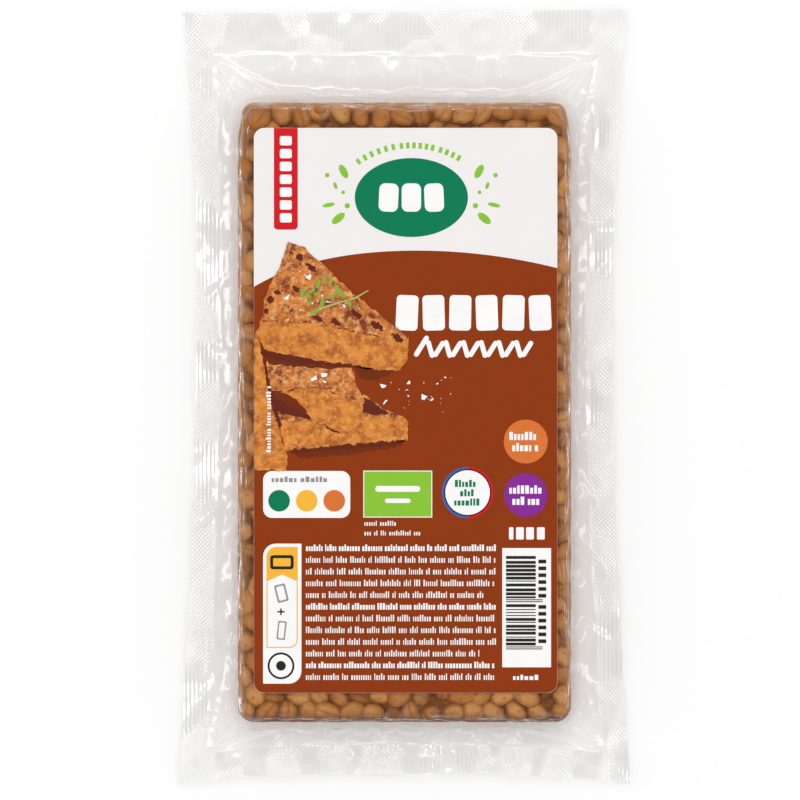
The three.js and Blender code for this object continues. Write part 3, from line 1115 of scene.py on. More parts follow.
# %% [markdown]
# ## Film: the finish
#
# Clear film shows what is behind it, a little greyed, and mirrors the lamps where it faces them. That is
# a mix of a Transparent and a glossy shader. The share mirrored is small head on and grows towards the
# edge: F = F0 + (1 - F0)(1 - cos)^5. Towards the rim and in the bottom seal the two webs are dull, and the
# right side is greyer than the left as painted shade, so a second, darker Transparent shader is mixed in
# there. The sealing tools press a fine pattern into the sealed strips, diamonds in some places and ribs in
# others, far finer than the mesh, so it is a bump. Its ridges mirror more, and its pits stay clear.

# %% Film: the finish
FILM_TINT = (0.999, 0.9965, 0.9945)
FILM_DULL = (0.940, 0.937, 0.934)
FILM_MIRROR = 0.042
GLOSS_COLOUR = (0.97, 0.97, 0.97, 1)
HATCH_PITCH = 0.8
RIB_PITCH = 1.1
HATCH_DEPTH = 0.055
PATCH_SIZE = 26.0  # of the places with ribs
THREADS = ((2.1, 0.0), (0.9, 40.0))  # of each bright line along the low edge: place and seed


def film_finish():
    material, start, place = new_material("clear_film")
    names = ("sealed", "cling", "bunched", "bite", "inside", "greyed", "low_edge")
    sealed, cling, bunched, bite, inside, greyed, low_edge = start.carried(*names)
    split = start.add("SeparateXYZ", inputs={0: place})
    x, y = split, Wire(split.tree, split.socket.node.outputs[1])
    turn = TURN / HATCH_PITCH / 2**0.5
    diamond = start.maths("SINE", (x + y) * turn) + start.maths("SINE", (x - y) * turn)
    ribs = start.maths("SINE", x * (TURN / RIB_PITCH)) * 0.8
    patch = start.noise(place, PATCH_SIZE, 1.0).spread(0.48, 0.56)
    hatch = diamond + patch * (ribs - diamond)
    haze = start.noise(place, 9.0, 2.0)
    micro = start.noise(place, 1.3, 3.0)
    along = start.add("CombineXYZ", inputs={0: inside, 1: (x + y) * 0.11})
    streak = start.noise(along, 0.8, 2.0).spread(0.46, 0.68)
    thread = 0.0
    for middle, seed in THREADS:
        wander = start.noise(start.add("CombineXYZ", inputs={0: x, 1: seed}), 8.0, 1.0) - 0.5
        off_line = start.maths("ABSOLUTE", inside - middle - wander * 5.0)
        thread = (1 - off_line.spread(0.05, 0.24)) + thread
    height = bite * hatch * HATCH_DEPTH + micro * 0.02 + bunched * streak * 0.14
    normal = start.bumped(height, 1.0, 1)
    facing = start.add("LayerWeight", inputs={"Blend": 0.5, "Normal": normal}, output=1)
    ridge = hatch.spread(0.1, 1.3)
    mirrored = (FILM_MIRROR + (1 - FILM_MIRROR) * facing**5) * (1 - 0.65 * cling)
    mirrored = mirrored + 0.025 * sealed + 0.04 * bite + 0.6 * greyed * bite * ridge
    mirrored = mirrored + bunched * (0.02 + 0.30 * streak) + 0.3 * low_edge * thread
    roughness = (0.07 + 0.03 * sealed + haze * 0.05 + 0.10 * bunched).held()
    gloss = start.principled(GLOSS_COLOUR, roughness, normal, Metallic=1.0)
    clear = start.add("BsdfTransparent", inputs={"Color": (*FILM_TINT, 1)})
    dull = start.add("BsdfTransparent", inputs={"Color": (*FILM_DULL, 1)})
    greyed = (greyed * (1 - 0.8 * bite * (1 - ridge))).held()
    clear = start.add("MixShader", inputs={0: greyed, 1: clear, 2: dull})
    surface = start.add("MixShader", inputs={0: mirrored.held(), 1: clear, 2: gloss})
    return finish_material(material, surface)


pouch_film.data.materials.append(film_finish())

# %% [markdown]
# ## Label: the finish
#
# The label keeps its frame solid, a plate with round corners. Its paper is coated: off-white, satin, with
# the slightest unevenness of tone and of gloss.

# %% Label: the finish
PAPER_DARK = (0.775, 0.750, 0.740)
PAPER_LIGHT = (0.815, 0.785, 0.775)


def paper_finish():
    material, start, place = new_material("coated_paper")
    cloud = start.noise(place, 14.0, 2.0)
    fibre = start.noise(place, 0.35, 3.0, 0.65)
    tone = (cloud * 0.6 + fibre * 0.4).mixed(PAPER_DARK, PAPER_LIGHT)
    normal = start.bumped(fibre, 0.15, 0.02)
    surface = start.principled(tone, (0.38 + fibre * 0.16).held(), normal)
    return finish_material(material, surface)


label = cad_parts["label"]
label.data.materials.clear()
label.data.materials.append(paper_finish())

# %% [markdown]
# ## Print: plates of ink
#
# A label is printed in flat fields of ink, one over another. Each ink is one piece here: every field is a
# very thin closed plate whose outline is worked out from its sizes, and a field that lies on another one
# is a level higher. Plates keep their edges crisp from any distance, which an image or a pattern would
# not. Places are measured from the label's lower left corner.

# %% Print: outlines
LEVEL_STEP = 0.02
LEVEL_GAP = 0.004
LABEL_WIDTH = label_high[0] - label_low[0]
LABEL_LENGTH = label_high[1] - label_low[1]


def arc(centre, radius, start, end, steps=8):
    """Points on a circle, or with two radii an ellipse, from one angle in degrees to another."""
    angle = np.radians(np.linspace(start, end, steps))[:, None]
    return np.array(centre) + np.array(radius) * np.concatenate([np.cos(angle), np.sin(angle)], axis=1)


def panel(x0, y0, x1, y1, radii=0.0):
    """A rectangle whose four corners, from the lower left one anticlockwise, may be round."""
    radii = np.broadcast_to(radii, 4)
    corners = [((x0, y0), 180), ((x1, y0), 270), ((x1, y1), 0), ((x0, y1), 90)]
    sides = []
    for ((x, y), start), radius, inward in zip(corners, radii, [(1, 1), (-1, 1), (-1, -1), (1, -1)]):
        centre = (x + inward[0] * radius, y + inward[1] * radius)
        sides.append(arc(centre, radius, start, start + 90, 7) if radius > 0 else np.array([[x, y]], float))
    return np.concatenate(sides)


def disc(x, y, radius, steps=48):
    """A circle, or with two radii an ellipse."""
    return arc((x, y), radius, 0, 360 - 360 / steps, steps)


def turned(outline, degrees, about=None):
    """An outline turned about a point, or about its own middle."""
    about = outline.mean(axis=0) if about is None else np.array(about)
    turn = np.radians(degrees)
    matrix = np.array([[np.cos(turn), np.sin(turn)], [-np.sin(turn), np.cos(turn)]])
    return (outline - about) @ matrix + about


def leaf(x, y, length, width, degrees):
    """A pointed leaf: two sine arcs from tip to tip."""
    t = np.linspace(0, np.pi, 12)
    lower = np.stack([-np.cos(t) * length / 2, -np.sin(t) * width / 2], axis=1)
    upper = np.stack([np.cos(t) * length / 2, np.sin(t) * width / 2], axis=1)
    return turned(np.concatenate([lower[:-1], upper[:-1]]) + [x, y], degrees, (x, y))


def stroke(line, widths):
    """A band along a line of points, with a width for each point."""
    way = np.gradient(line, axis=0)
    aside = np.stack([-way[:, 1], way[:, 0]], axis=1) / np.linalg.norm(way, axis=1)[:, None]
    half = np.array(widths)[:, None] / 2
    return np.concatenate([line - aside * half, (line + aside * half)[::-1]])


def half_ring(x, y, radius, width, start):
    """Half of a ring that begins at an angle."""
    return np.concatenate(
        [arc((x, y), radius, start, start + 180, 24), arc((x, y), radius - width, start + 180, start, 24)]
    )


print_rng = np.random.default_rng(12)


def blank_words(x0, x1, y, height, letter=0.34, gap=0.28, tall=0.3):
    """Small blocks that stand for a line of small print and say nothing: as many as fit between x0 and
    x1 on the base line y, a few of them taller, with a wider gap where a word would end."""
    blocks = []
    x, left = x0, int(print_rng.integers(3, 10))
    while x + letter < x1:
        wide = letter * print_rng.uniform(0.75, 1.35)
        high = height * (1.0 if print_rng.uniform() < tall else 0.72)
        blocks.append(panel(x, y, min(x + wide, x1), y + high))
        x += wide + gap
        left -= 1
        if left == 0:
            x += 2.2 * gap
            left = int(print_rng.integers(2, 11))
    return blocks


def ink_piece(name, fields):
    """One piece of all the fields of one ink. Each field is an outline with the level it lies on."""
    points, faces, start = [], [], 0
    for outline, level in fields:
        count = len(outline)
        base = label_high[2] + LEVEL_GAP + level * LEVEL_STEP
        for height in (base, base + LEVEL_STEP - LEVEL_GAP):
            points.append(np.column_stack([outline + label_low[:2], np.full(count, height)]))
        ring = start + np.arange(count)
        after = np.roll(ring, -1)
        faces.append(ring[None, ::-1])
        faces.append(ring[None] + count)
        faces.append(np.stack([ring, after, after + count, ring + count], axis=1))
        start += 2 * count
    return mesh_piece(name, np.concatenate(points), faces, smooth=False)


# %% [markdown]
# ## Print: the fields
#
# The upper part of the label is bare paper with a red tab and a green oval, the rest is a brown field
# whose upper edge is a shallow arch. Everything that would name a maker or say something is left as
# blank blocks, bars and dots.

# %% Print: ground, tab and oval
EDGE = 0.04  # bare paper round a field that runs to the label's edge
ARCH_PEAK = (43.8, 118.75)
CORNER = 2.8


def arch_line():
    """The brown field's upper edge, right to left: it drops with the square of the distance from its
    peak, and left of it also with the fourth power."""
    x = np.linspace(LABEL_WIDTH - EDGE, EDGE, 60)
    away = x - ARCH_PEAK[0]
    drop = 0.0033 * away**2 + 9.3e-7 * np.clip(-away, 0, None) ** 4
    return np.stack([x, ARCH_PEAK[1] - drop], axis=1)


lower_edge = panel(EDGE, EDGE, LABEL_WIDTH - EDGE, 60, (CORNER, CORNER, 0, 0))[:-2]
brown = [(np.concatenate([lower_edge, arch_line()]), 0)]
red = [(panel(5.4, 124.4, 11.8, LABEL_LENGTH - EDGE, (1.0, 1.0, 0, 0)), 0)]
white = [(panel(7.0, y, 10.2, y + 2.5, 0.5), 1) for y in np.linspace(126.3, 147.0, 7)]
OVAL = np.array([42.3, 133.0])
deep_green = [(disc(*OVAL, (15.2, 10.6), 72), 0)]
for x in (33.6, 39.7, 45.8):
    white.append((turned(panel(x, 129.2, x + 5.2, 136.8, 1.6), 0.4 * (x - 39.7)), 1))

light_green = []
for word_start, word_end, letters in ((124, 101, 6), (96, 77, 6), (72, 60, 4)):
    for angle in np.linspace(word_start, word_end, letters):
        spot = arc((42.3, 121.6), 25.4, angle, angle, 1)[0]
        block = panel(spot[0] - 0.45, spot[1] - 0.8, spot[0] + 0.45, spot[1] + 0.8)
        light_green.append((turned(block, angle - 90), 0))
# Round the oval, mirrored: leaves by their place from its middle, length, width and turn, and dots.
LEAVES = (
    (18.2, 7.0, 4.0, 1.9, 62),
    (20.4, 3.2, 2.0, 0.9, 70),
    (19.6, -5.6, 4.2, 2.0, -40),
    (22.2, -2.0, 3.4, 1.1, -12),
)
DOTS = ((18.3, 1.4, 0.5), (17.2, -2.2, 0.7), (22.6, 6.0, 0.6))
for side in (-1, 1):
    for out, up, length, width, turn in LEAVES:
        light_green.append((leaf(*(OVAL + [side * out, up]), length, width, side * turn), 0))
    for out, up, size in DOTS:
        light_green.append((disc(*(OVAL + [side * out, up]), size, 20), 0))

# %% [markdown]
# ## Print: headline and panels
#
# Six blocks stand for the name, a row of leaning bars for the line of script under it, and a few discs
# and panels with blank words in them for the claims and signs below.

# %% Print: headline and panels
for number, x in enumerate(np.linspace(38.2, 73.9, 6)):
    block = panel(x, 97.3, x + 5.9, 106.8, 1.1)
    white.append((turned(block, (-2.5, 1.5, -1.0, 2.0, -1.5, 2.5)[number]), 1))
for number, x in enumerate(np.linspace(45.0, 73.4, 13)):
    high = 6.4 if number == 0 else 4.9
    bar = panel(x - 0.66, 89.9, x + 0.66, 89.9 + high, 0.65)
    white.append((turned(bar, 16 if number % 2 else -32), 1 + number % 2))

orange = [(disc(73.0, 67.5, 5.9), 1)]
purple = [(disc(73.0, 53.1, 5.85), 1)]
for middle in (67.5, 53.1):
    for base, half in ((middle + 0.4, 4.4), (middle - 2.6, 3.6)):
        white += [(block, 2) for block in blank_words(73 - half, 73 + half, base, 2.2, 0.75, 0.3)]

white.append((panel(2.5, 47.0, 25.9, 59.6, 2.4), 1))
grey = [(block, 2) for block in blank_words(4.8, 20.0, 56.6, 1.5, 0.8, 0.35)]
deep_green.append((disc(6.8, 51.6, 2.9), 2))
yellow = [(disc(14.2, 51.6, 2.9), 2)]
orange.append((disc(21.6, 51.6, 2.9), 2))

white.append((panel(29.4, 47.1, 47.9, 59.7), 1))
light_green.append((panel(29.65, 47.35, 47.65, 59.45), 2))
white += [(panel(32.6, 54.0, 44.7, 55.6, 0.8), 3), (panel(35.2, 51.0, 42.1, 52.2, 0.6), 3)]
white += [(block, 1) for block in blank_words(29.7, 38.3, 44.9, 1.3) + blank_words(29.7, 45.8, 42.3, 1.3)]

white.append((disc(57.4, 53.8, 6.3), 1))
blue = [(half_ring(57.4, 53.8, 6.9, 0.9, 90), 1)]
red.append((half_ring(57.4, 53.8, 6.9, 0.9, 270), 1))
for base, half in ((55.3, 3.4), (52.8, 2.0), (50.3, 3.6)):
    deep_green += [(block, 2) for block in blank_words(57.4 - half, 57.4 + half, base, 1.9, 0.7, 0.3)]

for x, wide in ((68.5, 1.2), (70.4, 2.1), (73.1, 2.1), (76.0, 2.1)):
    white.append((panel(x, 41.2, x + wide, 44.5, 0.3), 1))

# %% [markdown]
# ## Print: codes, signs and small print
#
# The bars are drawn at random, so the code says nothing. The small print is rows of blank blocks.

# %% Print: codes, signs and small print
white.append((panel(66.7, 6.9, 79.8, 38.9), 1))
MODULE = 0.264
black = []
GUARD_BARS = (0, 1, 14, 15, 28, 29)  # the thin long ones
bar_y = 11.7
for number in range(30):
    guard = number in GUARD_BARS
    bar = MODULE * print_rng.integers(1, 4)
    if guard:
        bar = MODULE
    black.append((panel(67.7, bar_y, 77.5 if guard else 75.7, bar_y + bar), 2))
    bar_y += bar + MODULE * (1 if guard else print_rng.integers(1, 3))
    if bar_y > 36.5:
        break
for y in np.concatenate([np.linspace(13.4, 22.6, 6), np.linspace(25.6, 34.8, 6)]):
    black.append((panel(76.4, y, 78.5, y + 1.0), 2))
white += [(block, 1) for block in blank_words(69.6, 76.7, 3.5, 1.4, 0.8, 0.35)]

white.append((panel(2.5, 2.5, 12.8, 40.1, (0.2, 3.4, 0.2, 3.4)), 1))
yellow_shape = panel(3.4, 29.9, 11.8, 39.2, (0, 0, 0.2, 2.6))
notch = np.array([[7.6, 31.8]])
yellow.append((np.concatenate([yellow_shape[:1], notch, yellow_shape[1:]]), 2))
for sides in ((3.4, 12.4, 3.7, 29.9), (11.5, 14.3, 11.8, 29.9), (3.4, 12.1, 9.6, 12.4)):
    yellow.append((panel(*sides), 2))
yellow.append((np.concatenate([arc((9.6, 14.3), 2.2, 270, 360), arc((9.6, 14.3), 1.9, 360, 270)]), 2))
black += [
    (panel(4.4, 33.2, 10.7, 37.0, 0.8), 3),
    (panel(7.1, 20.9, 7.5, 22.7), 2),
    (panel(6.3, 21.6, 8.3, 22.0), 2),
    (half_ring(7.3, 7.3, 3.6, 0.55, 90), 2),
    (half_ring(7.3, 7.3, 3.6, 0.55, 270), 2),
    (disc(7.3, 7.3, 1.3), 2),
]
yellow.append((panel(5.2, 34.0, 9.9, 36.2, 0.3), 4))
grey += [
    (turned(panel(5.9, 24.4, 8.9, 29.2, 0.4), 14), 2),
    (turned(panel(6.3, 14.3, 8.6, 19.3, 0.3), -6), 2),
]
white += [
    (turned(panel(6.4, 24.9, 8.4, 28.7, 0.3), 14), 3),
    (turned(panel(6.7, 14.7, 8.2, 18.9, 0.2), -6), 3),
]

LINES = 12
HEAVY_LINES = (0, 5, 10)
SHORT_LINES = {4: 62.1, 9: 61.0}  # where they end
for number, base in enumerate(np.linspace(38.1, 3.5, LINES)):
    heavy = 0.14 if number in HEAVY_LINES else 0.0
    end = SHORT_LINES.get(number, 65.0)
    white += [(block, 1) for block in blank_words(14.0, end, base, 1.75, 0.31 + heavy, 0.28 - heavy / 2)]

# %% [markdown]
# ## Print: the serving suggestion
#
# A picture of fried slices is printed at the left. Here it is plain shapes: each slice has a browned top
# and a paler cut side, a sprig on a stem lies on the first, and salt flakes are strewn on and beside
# them. The mottle of the tops and sides comes from their finish.

# %% Print: the serving suggestion
slice_tops = [
    [
        (9.3, 121.0), (13.3, 119.7), (21.1, 112.7), (26.7, 107.2), (35.5, 100.3), (41.5, 95.5),
        (40.6, 93.7), (34.1, 95.6), (23.9, 97.5), (14.2, 99.3), (1.7, 99.8), (3.6, 107.6), (7.3, 115.5),
    ],
    [
        (2.9, 88.4), (4.4, 89.4), (13.6, 89.0), (19.9, 88.6), (26.4, 87.6), (27.9, 82.1), (29.2, 78.5),
        (25.8, 79.0), (22.4, 80.2), (19.1, 81.5), (15.7, 82.1), (11.5, 81.7), (7.3, 80.8), (4.0, 82.1),
    ],
    [
        (5.6, 77.5), (15.3, 75.5), (20.0, 72.4), (29.3, 80.0), (31.2, 79.2), (34.6, 76.6), (38.8, 74.6),
        (40.3, 74.1), (35.0, 73.4), (29.0, 74.0), (20.0, 70.9), (14.9, 72.4), (7.0, 73.0),
    ],
]
slice_sides = [
    [
        (1.7, 99.8), (14.2, 99.3), (23.9, 97.5), (34.1, 95.6), (40.6, 93.7), (41.5, 95.5), (41.1, 89.2),
        (39.2, 86.8), (35.9, 86.4), (24.8, 88.2), (17.4, 89.2), (3.1, 91.9), (0.4, 96.1),
    ],
    [
        (4.0, 82.1), (7.3, 80.8), (11.5, 81.7), (15.7, 82.1), (19.1, 81.5), (22.4, 80.2), (25.8, 79.0),
        (29.2, 78.5), (29.2, 74.5), (28.3, 68.0), (25.8, 68.0), (22.4, 69.9), (19.1, 72.2),
        (15.3, 74.1), (10.7, 76.6), (5.2, 79.6),
    ],
    [
        (6.9, 73.2), (14.9, 72.6), (19.9, 71.2), (29.3, 74.4), (35.0, 73.6), (40.3, 74.1), (41.3, 72.5),
        (41.4, 68.0), (36.7, 67.4), (25.8, 66.4), (15.7, 65.5), (9.0, 65.1), (7.3, 69.5),
    ],
    [
        (0.1, 95.9), (1.2, 95.1), (2.1, 92.2), (3.6, 82.1), (5.2, 75.8), (6.7, 71.6), (7.4, 68.3),
        (9.1, 63.4), (8.6, 59.7), (2.6, 59.7), (0.1, 59.7),
    ],
]


def rough_edged(corners, seed, step=0.9, roughness=0.16):
    """A closed line through the corners, anticlockwise, with a point at every step moved a little."""
    corners = np.array(corners, float)
    after = np.roll(corners, -1, axis=0)
    if ((after[:, 0] - corners[:, 0]) * (after[:, 1] + corners[:, 1])).sum() > 0:
        corners = corners[::-1]
        after = np.roll(corners, -1, axis=0)
    runs = []
    for a, b in zip(corners, after):
        number = max(int(np.hypot(*(b - a)) / step), 1)
        runs.append(between(a, b, np.arange(number)[:, None] / number))
    line = np.concatenate(runs)
    moved = line + np.random.default_rng(seed).normal(0, roughness, line.shape)
    return moved.clip(EDGE, None)


# Burnt spots: place, half their length and height, and number of corners.
BLOTS = (
    (15.4, 114.2, 1.6, 0.8, 16),
    (12.2, 117.0, 1.0, 0.8, 14),
    (6.4, 107.6, 1.1, 0.7, 14),
    (4.4, 105.6, 1.1, 1.0, 14),
    (3.4, 102.4, 0.9, 0.7, 14),
    (33.0, 98.6, 2.1, 0.9, 18),
    (38.6, 95.3, 1.9, 0.8, 18),
    (22.0, 99.6, 1.4, 0.7, 14),
    (11.2, 108.6, 1.3, 0.7, 14),
    (27.6, 101.6, 1.5, 0.8, 16),
    (17.0, 100.6, 1.8, 0.5, 14),
)
char = []
for number, (x, y, half_length, half_height, corners) in enumerate(BLOTS):
    blot = rough_edged(disc(x, y, (half_length, half_height), corners), 80 + number, 0.3, 0.2)
    char.append((turned(blot, 40 if number == 3 else -35), 9))
# The dark lines under the slices, and the shadows that they cast.
under = [
    [
        (2.3, 91.9), (17.4, 89.2), (24.8, 88.2), (32.0, 87.0), (26.0, 87.3), (13.0, 88.3), (4.0, 90.0),
    ],
    [
        (5.2, 79.6), (10.7, 76.7), (15.3, 74.3), (14.9, 73.1), (11.5, 74.2), (7.3, 75.0), (5.6, 76.2),
    ],
    [
        (9.0, 65.3), (24.8, 66.6), (41.0, 68.0), (40.0, 67.2), (24.0, 65.6), (10.0, 64.5),
    ],
    [
        (29.4, 79.4), (31.4, 78.6), (34.2, 76.4), (36.4, 74.9), (32.0, 74.5), (29.4, 75.4),
    ],
    [
        (1.9, 93.5), (2.9, 91.0), (4.1, 84.0), (6.0, 76.2), (7.6, 71.5), (6.7, 71.2), (5.0, 76.0),
        (3.4, 84.0),
    ],
    [
        (19.2, 71.9), (21.0, 71.2), (23.0, 69.6), (21.4, 69.9), (19.6, 71.0),
    ],
]
dusk = [
    [
        (9.0, 65.4), (41.0, 68.2), (39.6, 66.2), (26.0, 64.0), (12.5, 63.0),
    ],
    [
        (4.0, 81.6), (8.0, 80.6), (11.5, 78.6), (14.0, 76.0), (14.8, 73.9), (10.7, 75.4), (5.4, 77.4),
    ],
    [
        (2.9, 90.4), (14.0, 88.7), (26.0, 87.5), (20.0, 87.0), (9.0, 87.8), (4.2, 88.4),
    ],
    [
        (27.0, 87.5), (35.9, 86.6), (38.6, 86.8), (33.4, 84.0), (28.6, 84.2),
    ],
]


def rough_fields(outlines, levels, seed, *how):
    """A field of a rough-edged outline on each level, each with a seed of its own."""
    lines = [rough_edged(outline, seed + number, *how) for number, outline in enumerate(outlines)]
    return list(zip(lines, levels))


char += rough_fields(under, (8, 7, 7, 7, 9, 7), 95, 0.6, 0.2)
fried = rough_fields(slice_tops, (8, 5, 2), 50)
cut = rough_fields(slice_sides, (7, 4, 3, 6), 60)
shade = rough_fields(dusk, (1, 6, 6, 1), 70)

stem_line = np.array([(14.2, 101.2), (18.6, 103.4), (23.4, 105.0), (27.2, 106.0), (30.8, 108.1)])
stem = [(stroke(stem_line, (0.6, 0.45, 0.4, 0.45, 0.3)), 9)]
# The sprig's leaves: place, length and turn.
LEAFLETS = (
    (17.2, 109.8, 2.6, 70), (18.8, 110.8, 2.2, 100), (20.6, 110.4, 2.4, 80), (13.2, 107.6, 2.6, 60),
    (14.6, 106.4, 2.4, 120), (15.6, 107.9, 2.2, 30), (17.0, 107.2, 2.0, 15), (18.3, 104.6, 2.6, 80),
    (20.4, 106.3, 2.2, 5), (21.6, 107.0, 2.0, 40), (22.6, 108.3, 3.0, -60), (23.6, 107.0, 2.6, -40),
    (25.7, 104.6, 2.2, -70), (16.4, 102.4, 2.6, 35), (14.9, 105.0, 2.0, -60),
)
LEAFLET_SHAPE = 0.40  # width in parts of the length
sprig = []
for number, (x, y, length, turn) in enumerate(LEAFLETS):
    sprig.append((leaf(x, y, length, LEAFLET_SHAPE * length, turn), 10 + number % 2))

# Salt: the corners of each field that it is strewn over, the number of flakes and their level.
SALT = (
    ((8.0, 99.5), (30.0, 115.0), 22, 12),
    ((15.0, 82.0), (25.0, 86.5), 6, 7),
    ((34.0, 75.5), (53.0, 85.0), 24, 6),
)
ON_FIRST_SLICE = 12
flakes = []
for low, high, number, level in SALT:
    for x, y in print_rng.uniform(low, high, (number, 2)):
        if level == ON_FIRST_SLICE and y > 117.0 - 0.62 * abs(x - 9):
            continue
        size = print_rng.choice([0.2, 0.35, 0.6, 0.95], p=[0.35, 0.25, 0.22, 0.18])
        angle = np.sort(print_rng.uniform(0, TURN, 5))
        flakes.append((np.stack([x + size * np.cos(angle), y + size * np.sin(angle)], axis=1), level))
# A line of blank words that stands upright beside the slices.
for block in blank_words(64.6, 83.1, -4.6, 1.3, 0.5, 0.3):
    flakes.append((block[:, ::-1] * [-1, 1], 10))

# %% [markdown]
# ## Print: the inks
#
# Offset ink is thin and smooth, so it takes its gloss from the coated paper and its colour is never quite
# even. Each ink is a mix of two close colours by a soft noise. The fried tops and the cut sides of the
# slices carry what a halftone picture would: a mottle of char, crust and grain.

# %% Print: the inks
UNEVENNESS = 0.10
PAPER_GRAIN = 0.15, 0.02  # strength and height of the paper's grain under the ink


def ink_finish(name, colour):
    """One ink: its colour, a little darker where a soft noise is low, over the paper's fine grain."""
    material, start, place = new_material(name)
    cloud = start.noise(place, 6.0, 2.0)
    grain = start.noise(place, 0.3, 2.0, 0.6)
    tone = (cloud * 0.6 + grain * 0.4).mixed(tuple((1 - 2 * UNEVENNESS) * np.array(colour)), colour)
    normal = start.bumped(grain, *PAPER_GRAIN)
    surface = start.principled(tone, (0.30 + grain * 0.16).held(), normal, Specular_IOR_Level=0.14)
    return finish_material(material, surface)


def slice_finish(name, dark, middle, pale, size, share):
    """Food in three shades: large blotches of the first two, broken up by finer ones of the third."""
    material, start, place = new_material(name)
    blotch = start.noise(place, size, 4.0, 0.7)
    crumb = start.noise(place, size * 0.35, 3.0, 0.6)
    tone = blotch.spread(0.38, 0.58).mixed(dark, middle)
    tone = (crumb.spread(0.5, 0.68) * share).mixed(tone, pale)
    normal = start.bumped(crumb, *PAPER_GRAIN)
    surface = start.principled(tone, (0.32 + crumb * 0.12).held(), normal, Specular_IOR_Level=0.3)
    return finish_material(material, surface)


PLAIN_INKS = {
    "brown": (brown, (0.272, 0.038, 0.0020)),
    "red": (red, (0.660, 0.010, 0.016)),
    "white": (white + flakes, (0.960, 0.950, 0.940)),
    "deep_green": (deep_green, (0.0, 0.200, 0.090)),
    "light_green": (light_green, (0.255, 0.560, 0.040)),
    "orange": (orange, (0.720, 0.180, 0.036)),
    "purple": (purple, (0.240, 0.024, 0.310)),
    "blue": (blue, (0.040, 0.130, 0.480)),
    "yellow": (yellow, (0.940, 0.480, 0.045)),
    "grey": (grey, (0.300, 0.290, 0.290)),
    "black": (black, (0.020, 0.018, 0.018)),
    "sprig": (sprig, (0.240, 0.420, 0.050)),
    "stem": (stem, (0.480, 0.500, 0.130)),
    "shade": (shade, (0.170, 0.026, 0.003)),
    "char": (char, (0.130, 0.020, 0.009)),
}
# Dark, middle and pale shade, size of the blotches and share of the crumbs.
FRIED_LOOK = ((0.19, 0.028, 0.006), (0.62, 0.20, 0.034), (0.78, 0.42, 0.17), 3.2, 0.8)
CUT_LOOK = ((0.38, 0.095, 0.010), (0.67, 0.235, 0.034), (0.80, 0.40, 0.12), 3.4, 0.5)


def print_inks():
    """Makes one piece for each ink and returns them all."""
    made = []
    for name, (fields, colour) in PLAIN_INKS.items():
        made.append(ink_piece("print_" + name, fields))
        made[-1].data.materials.append(ink_finish("ink_" + name, colour))
    for name, fields, finish, look in (
        ("print_fried", fried, "fried_top", FRIED_LOOK),
        ("print_cut", cut, "cut_side", CUT_LOOK),
    ):
        made.append(ink_piece(name, fields))
        made[-1].data.materials.append(slice_finish(finish, *look))
    return made


inks = print_inks()
top_level = 13  # the levels are 0 to 12
print(len(inks), "inks, the print lies up to", round(top_level * LEVEL_STEP, 2), "mm above the label")

# %% [markdown]
# ## Camera, floor and light
#
# The pack lies on a white table and is seen from straight above through a long lens, which keeps its
# sides from showing. Large soft lamps all round give the even light of a shop picture. They are what the
# film mirrors: a fold shows as a white line where it leans towards a lamp.

# %% Camera, floor and light
VIEW_WIDTH = 214.8  # of the picture, at the height of the label
VIEW_MIDDLE = (-1.2, -0.7)
LENS = 300.0
SENSOR = 36.0


def add_camera():
    """A camera that looks straight down, as far up as its lens needs to take in the view's width."""
    camera = bpy.data.objects.new("camera", bpy.data.cameras.new("camera"))
    camera.data.lens = LENS
    camera.data.sensor_width = SENSOR
    height = VIEW_WIDTH * LENS / SENSOR + CAKE_TOP
    camera.location = (VIEW_MIDDLE[0] * MM, VIEW_MIDDLE[1] * MM, height * MM)
    camera.data.clip_start = 0.05
    bpy.context.scene.collection.objects.link(camera)
    bpy.context.scene.camera = camera
    print("camera height:", round(height), "mm")


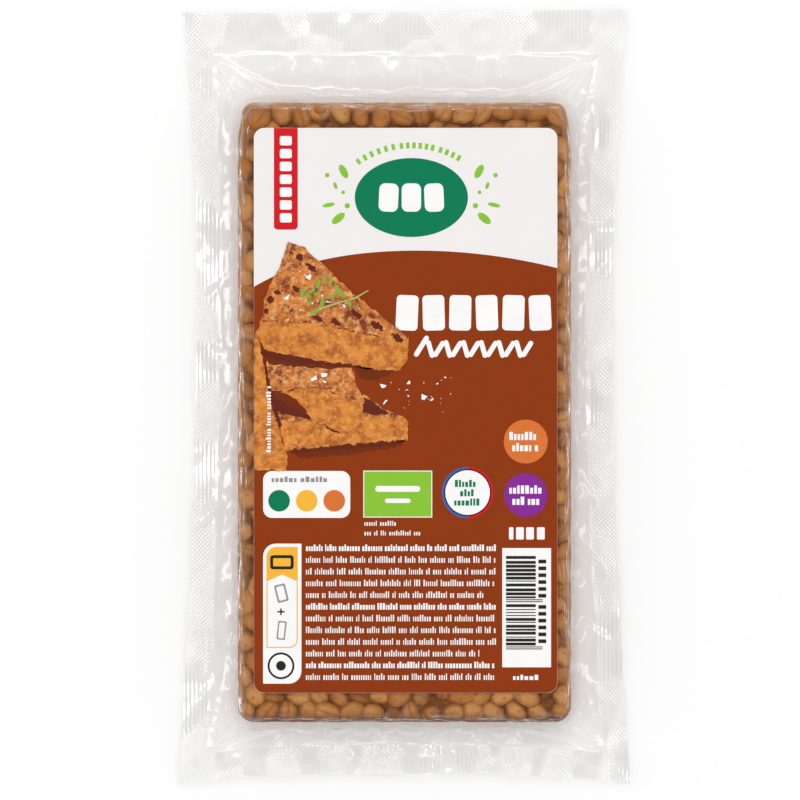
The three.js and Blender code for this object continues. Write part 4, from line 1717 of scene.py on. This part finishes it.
def add_lamp(name, place, size, power):
    """A rectangular soft lamp at a place in metres, turned to face the origin."""
    lamp = bpy.data.lights.new(name, "AREA")
    lamp.shape = "RECTANGLE"
    lamp.size, lamp.size_y = size
    lamp.energy = power
    holder = bpy.data.objects.new(name, lamp)
    holder.location = place
    holder.rotation_euler = Vector(place).to_track_quat("Z", "Y").to_euler()
    bpy.context.scene.collection.objects.link(holder)


def add_floor():
    """A wide plain sheet just under the pack."""
    mesh = bpy.data.meshes.new("floor")
    reach = 3.0  # metres
    drop = -0.02 * MM
    corners = [(-reach, -reach, drop), (reach, -reach, drop), (reach, reach, drop), (-reach, reach, drop)]
    mesh.from_pydata(corners, [], [(0, 1, 2, 3)])
    floor = bpy.data.objects.new("floor", mesh)
    bpy.context.scene.collection.objects.link(floor)
    return floor


def plain_material(name, colour, roughness):
    """A Principled material of one colour."""
    material = bpy.data.materials.new(name)
    material.use_nodes = True
    shader = material.node_tree.nodes["Principled BSDF"]
    shader.inputs["Base Color"].default_value = (*colour, 1)
    shader.inputs["Roughness"].default_value = roughness
    return material


TENT_BRIGHT = 0.87
TENT_DIM = 0.45
TENT_OPENING = 17.0  # degrees from straight up


def light_tent():
    """A world that is bright all round and dim straight above, where a light tent is open."""
    world = bpy.data.worlds.new("light_tent")
    world.use_nodes = True
    world.node_tree.nodes.clear()
    start = Wire(world.node_tree)
    direction = start.add("TexCoord")
    up = start.add("SeparateXYZ", inputs={0: direction}, output=2)
    edge = [np.cos(np.radians(TENT_OPENING + turn)) for turn in (5, -5)]
    shade = up.spread(*map(float, edge))
    strength = TENT_BRIGHT + (TENT_DIM - TENT_BRIGHT) * shade
    background = start.add("Background", inputs={"Color": (1, 1, 1, 1), "Strength": strength})
    output = world.node_tree.nodes.new("ShaderNodeOutputWorld")
    world.node_tree.links.new(background.socket, output.inputs["Surface"])
    bpy.context.scene.world = world


add_camera()
add_floor().data.materials.append(plain_material("white_table", (0.9, 0.9, 0.9), 0.9))
add_lamp("lamp_behind", (0.0, 0.8, 1.2), (1.2, 0.17), 3.2)
add_lamp("lamp_left", (-1.1, 0.0, 0.6), (0.15, 1.4), 2.6)
add_lamp("lamp_right", (1.1, 0.1, 0.6), (0.15, 1.4), 2.0)
add_lamp("lamp_front", (0.0, -1.0, 1.0), (1.0, 0.25), 1.5)
light_tent()
bpy.context.scene.view_settings.view_transform = "Standard"
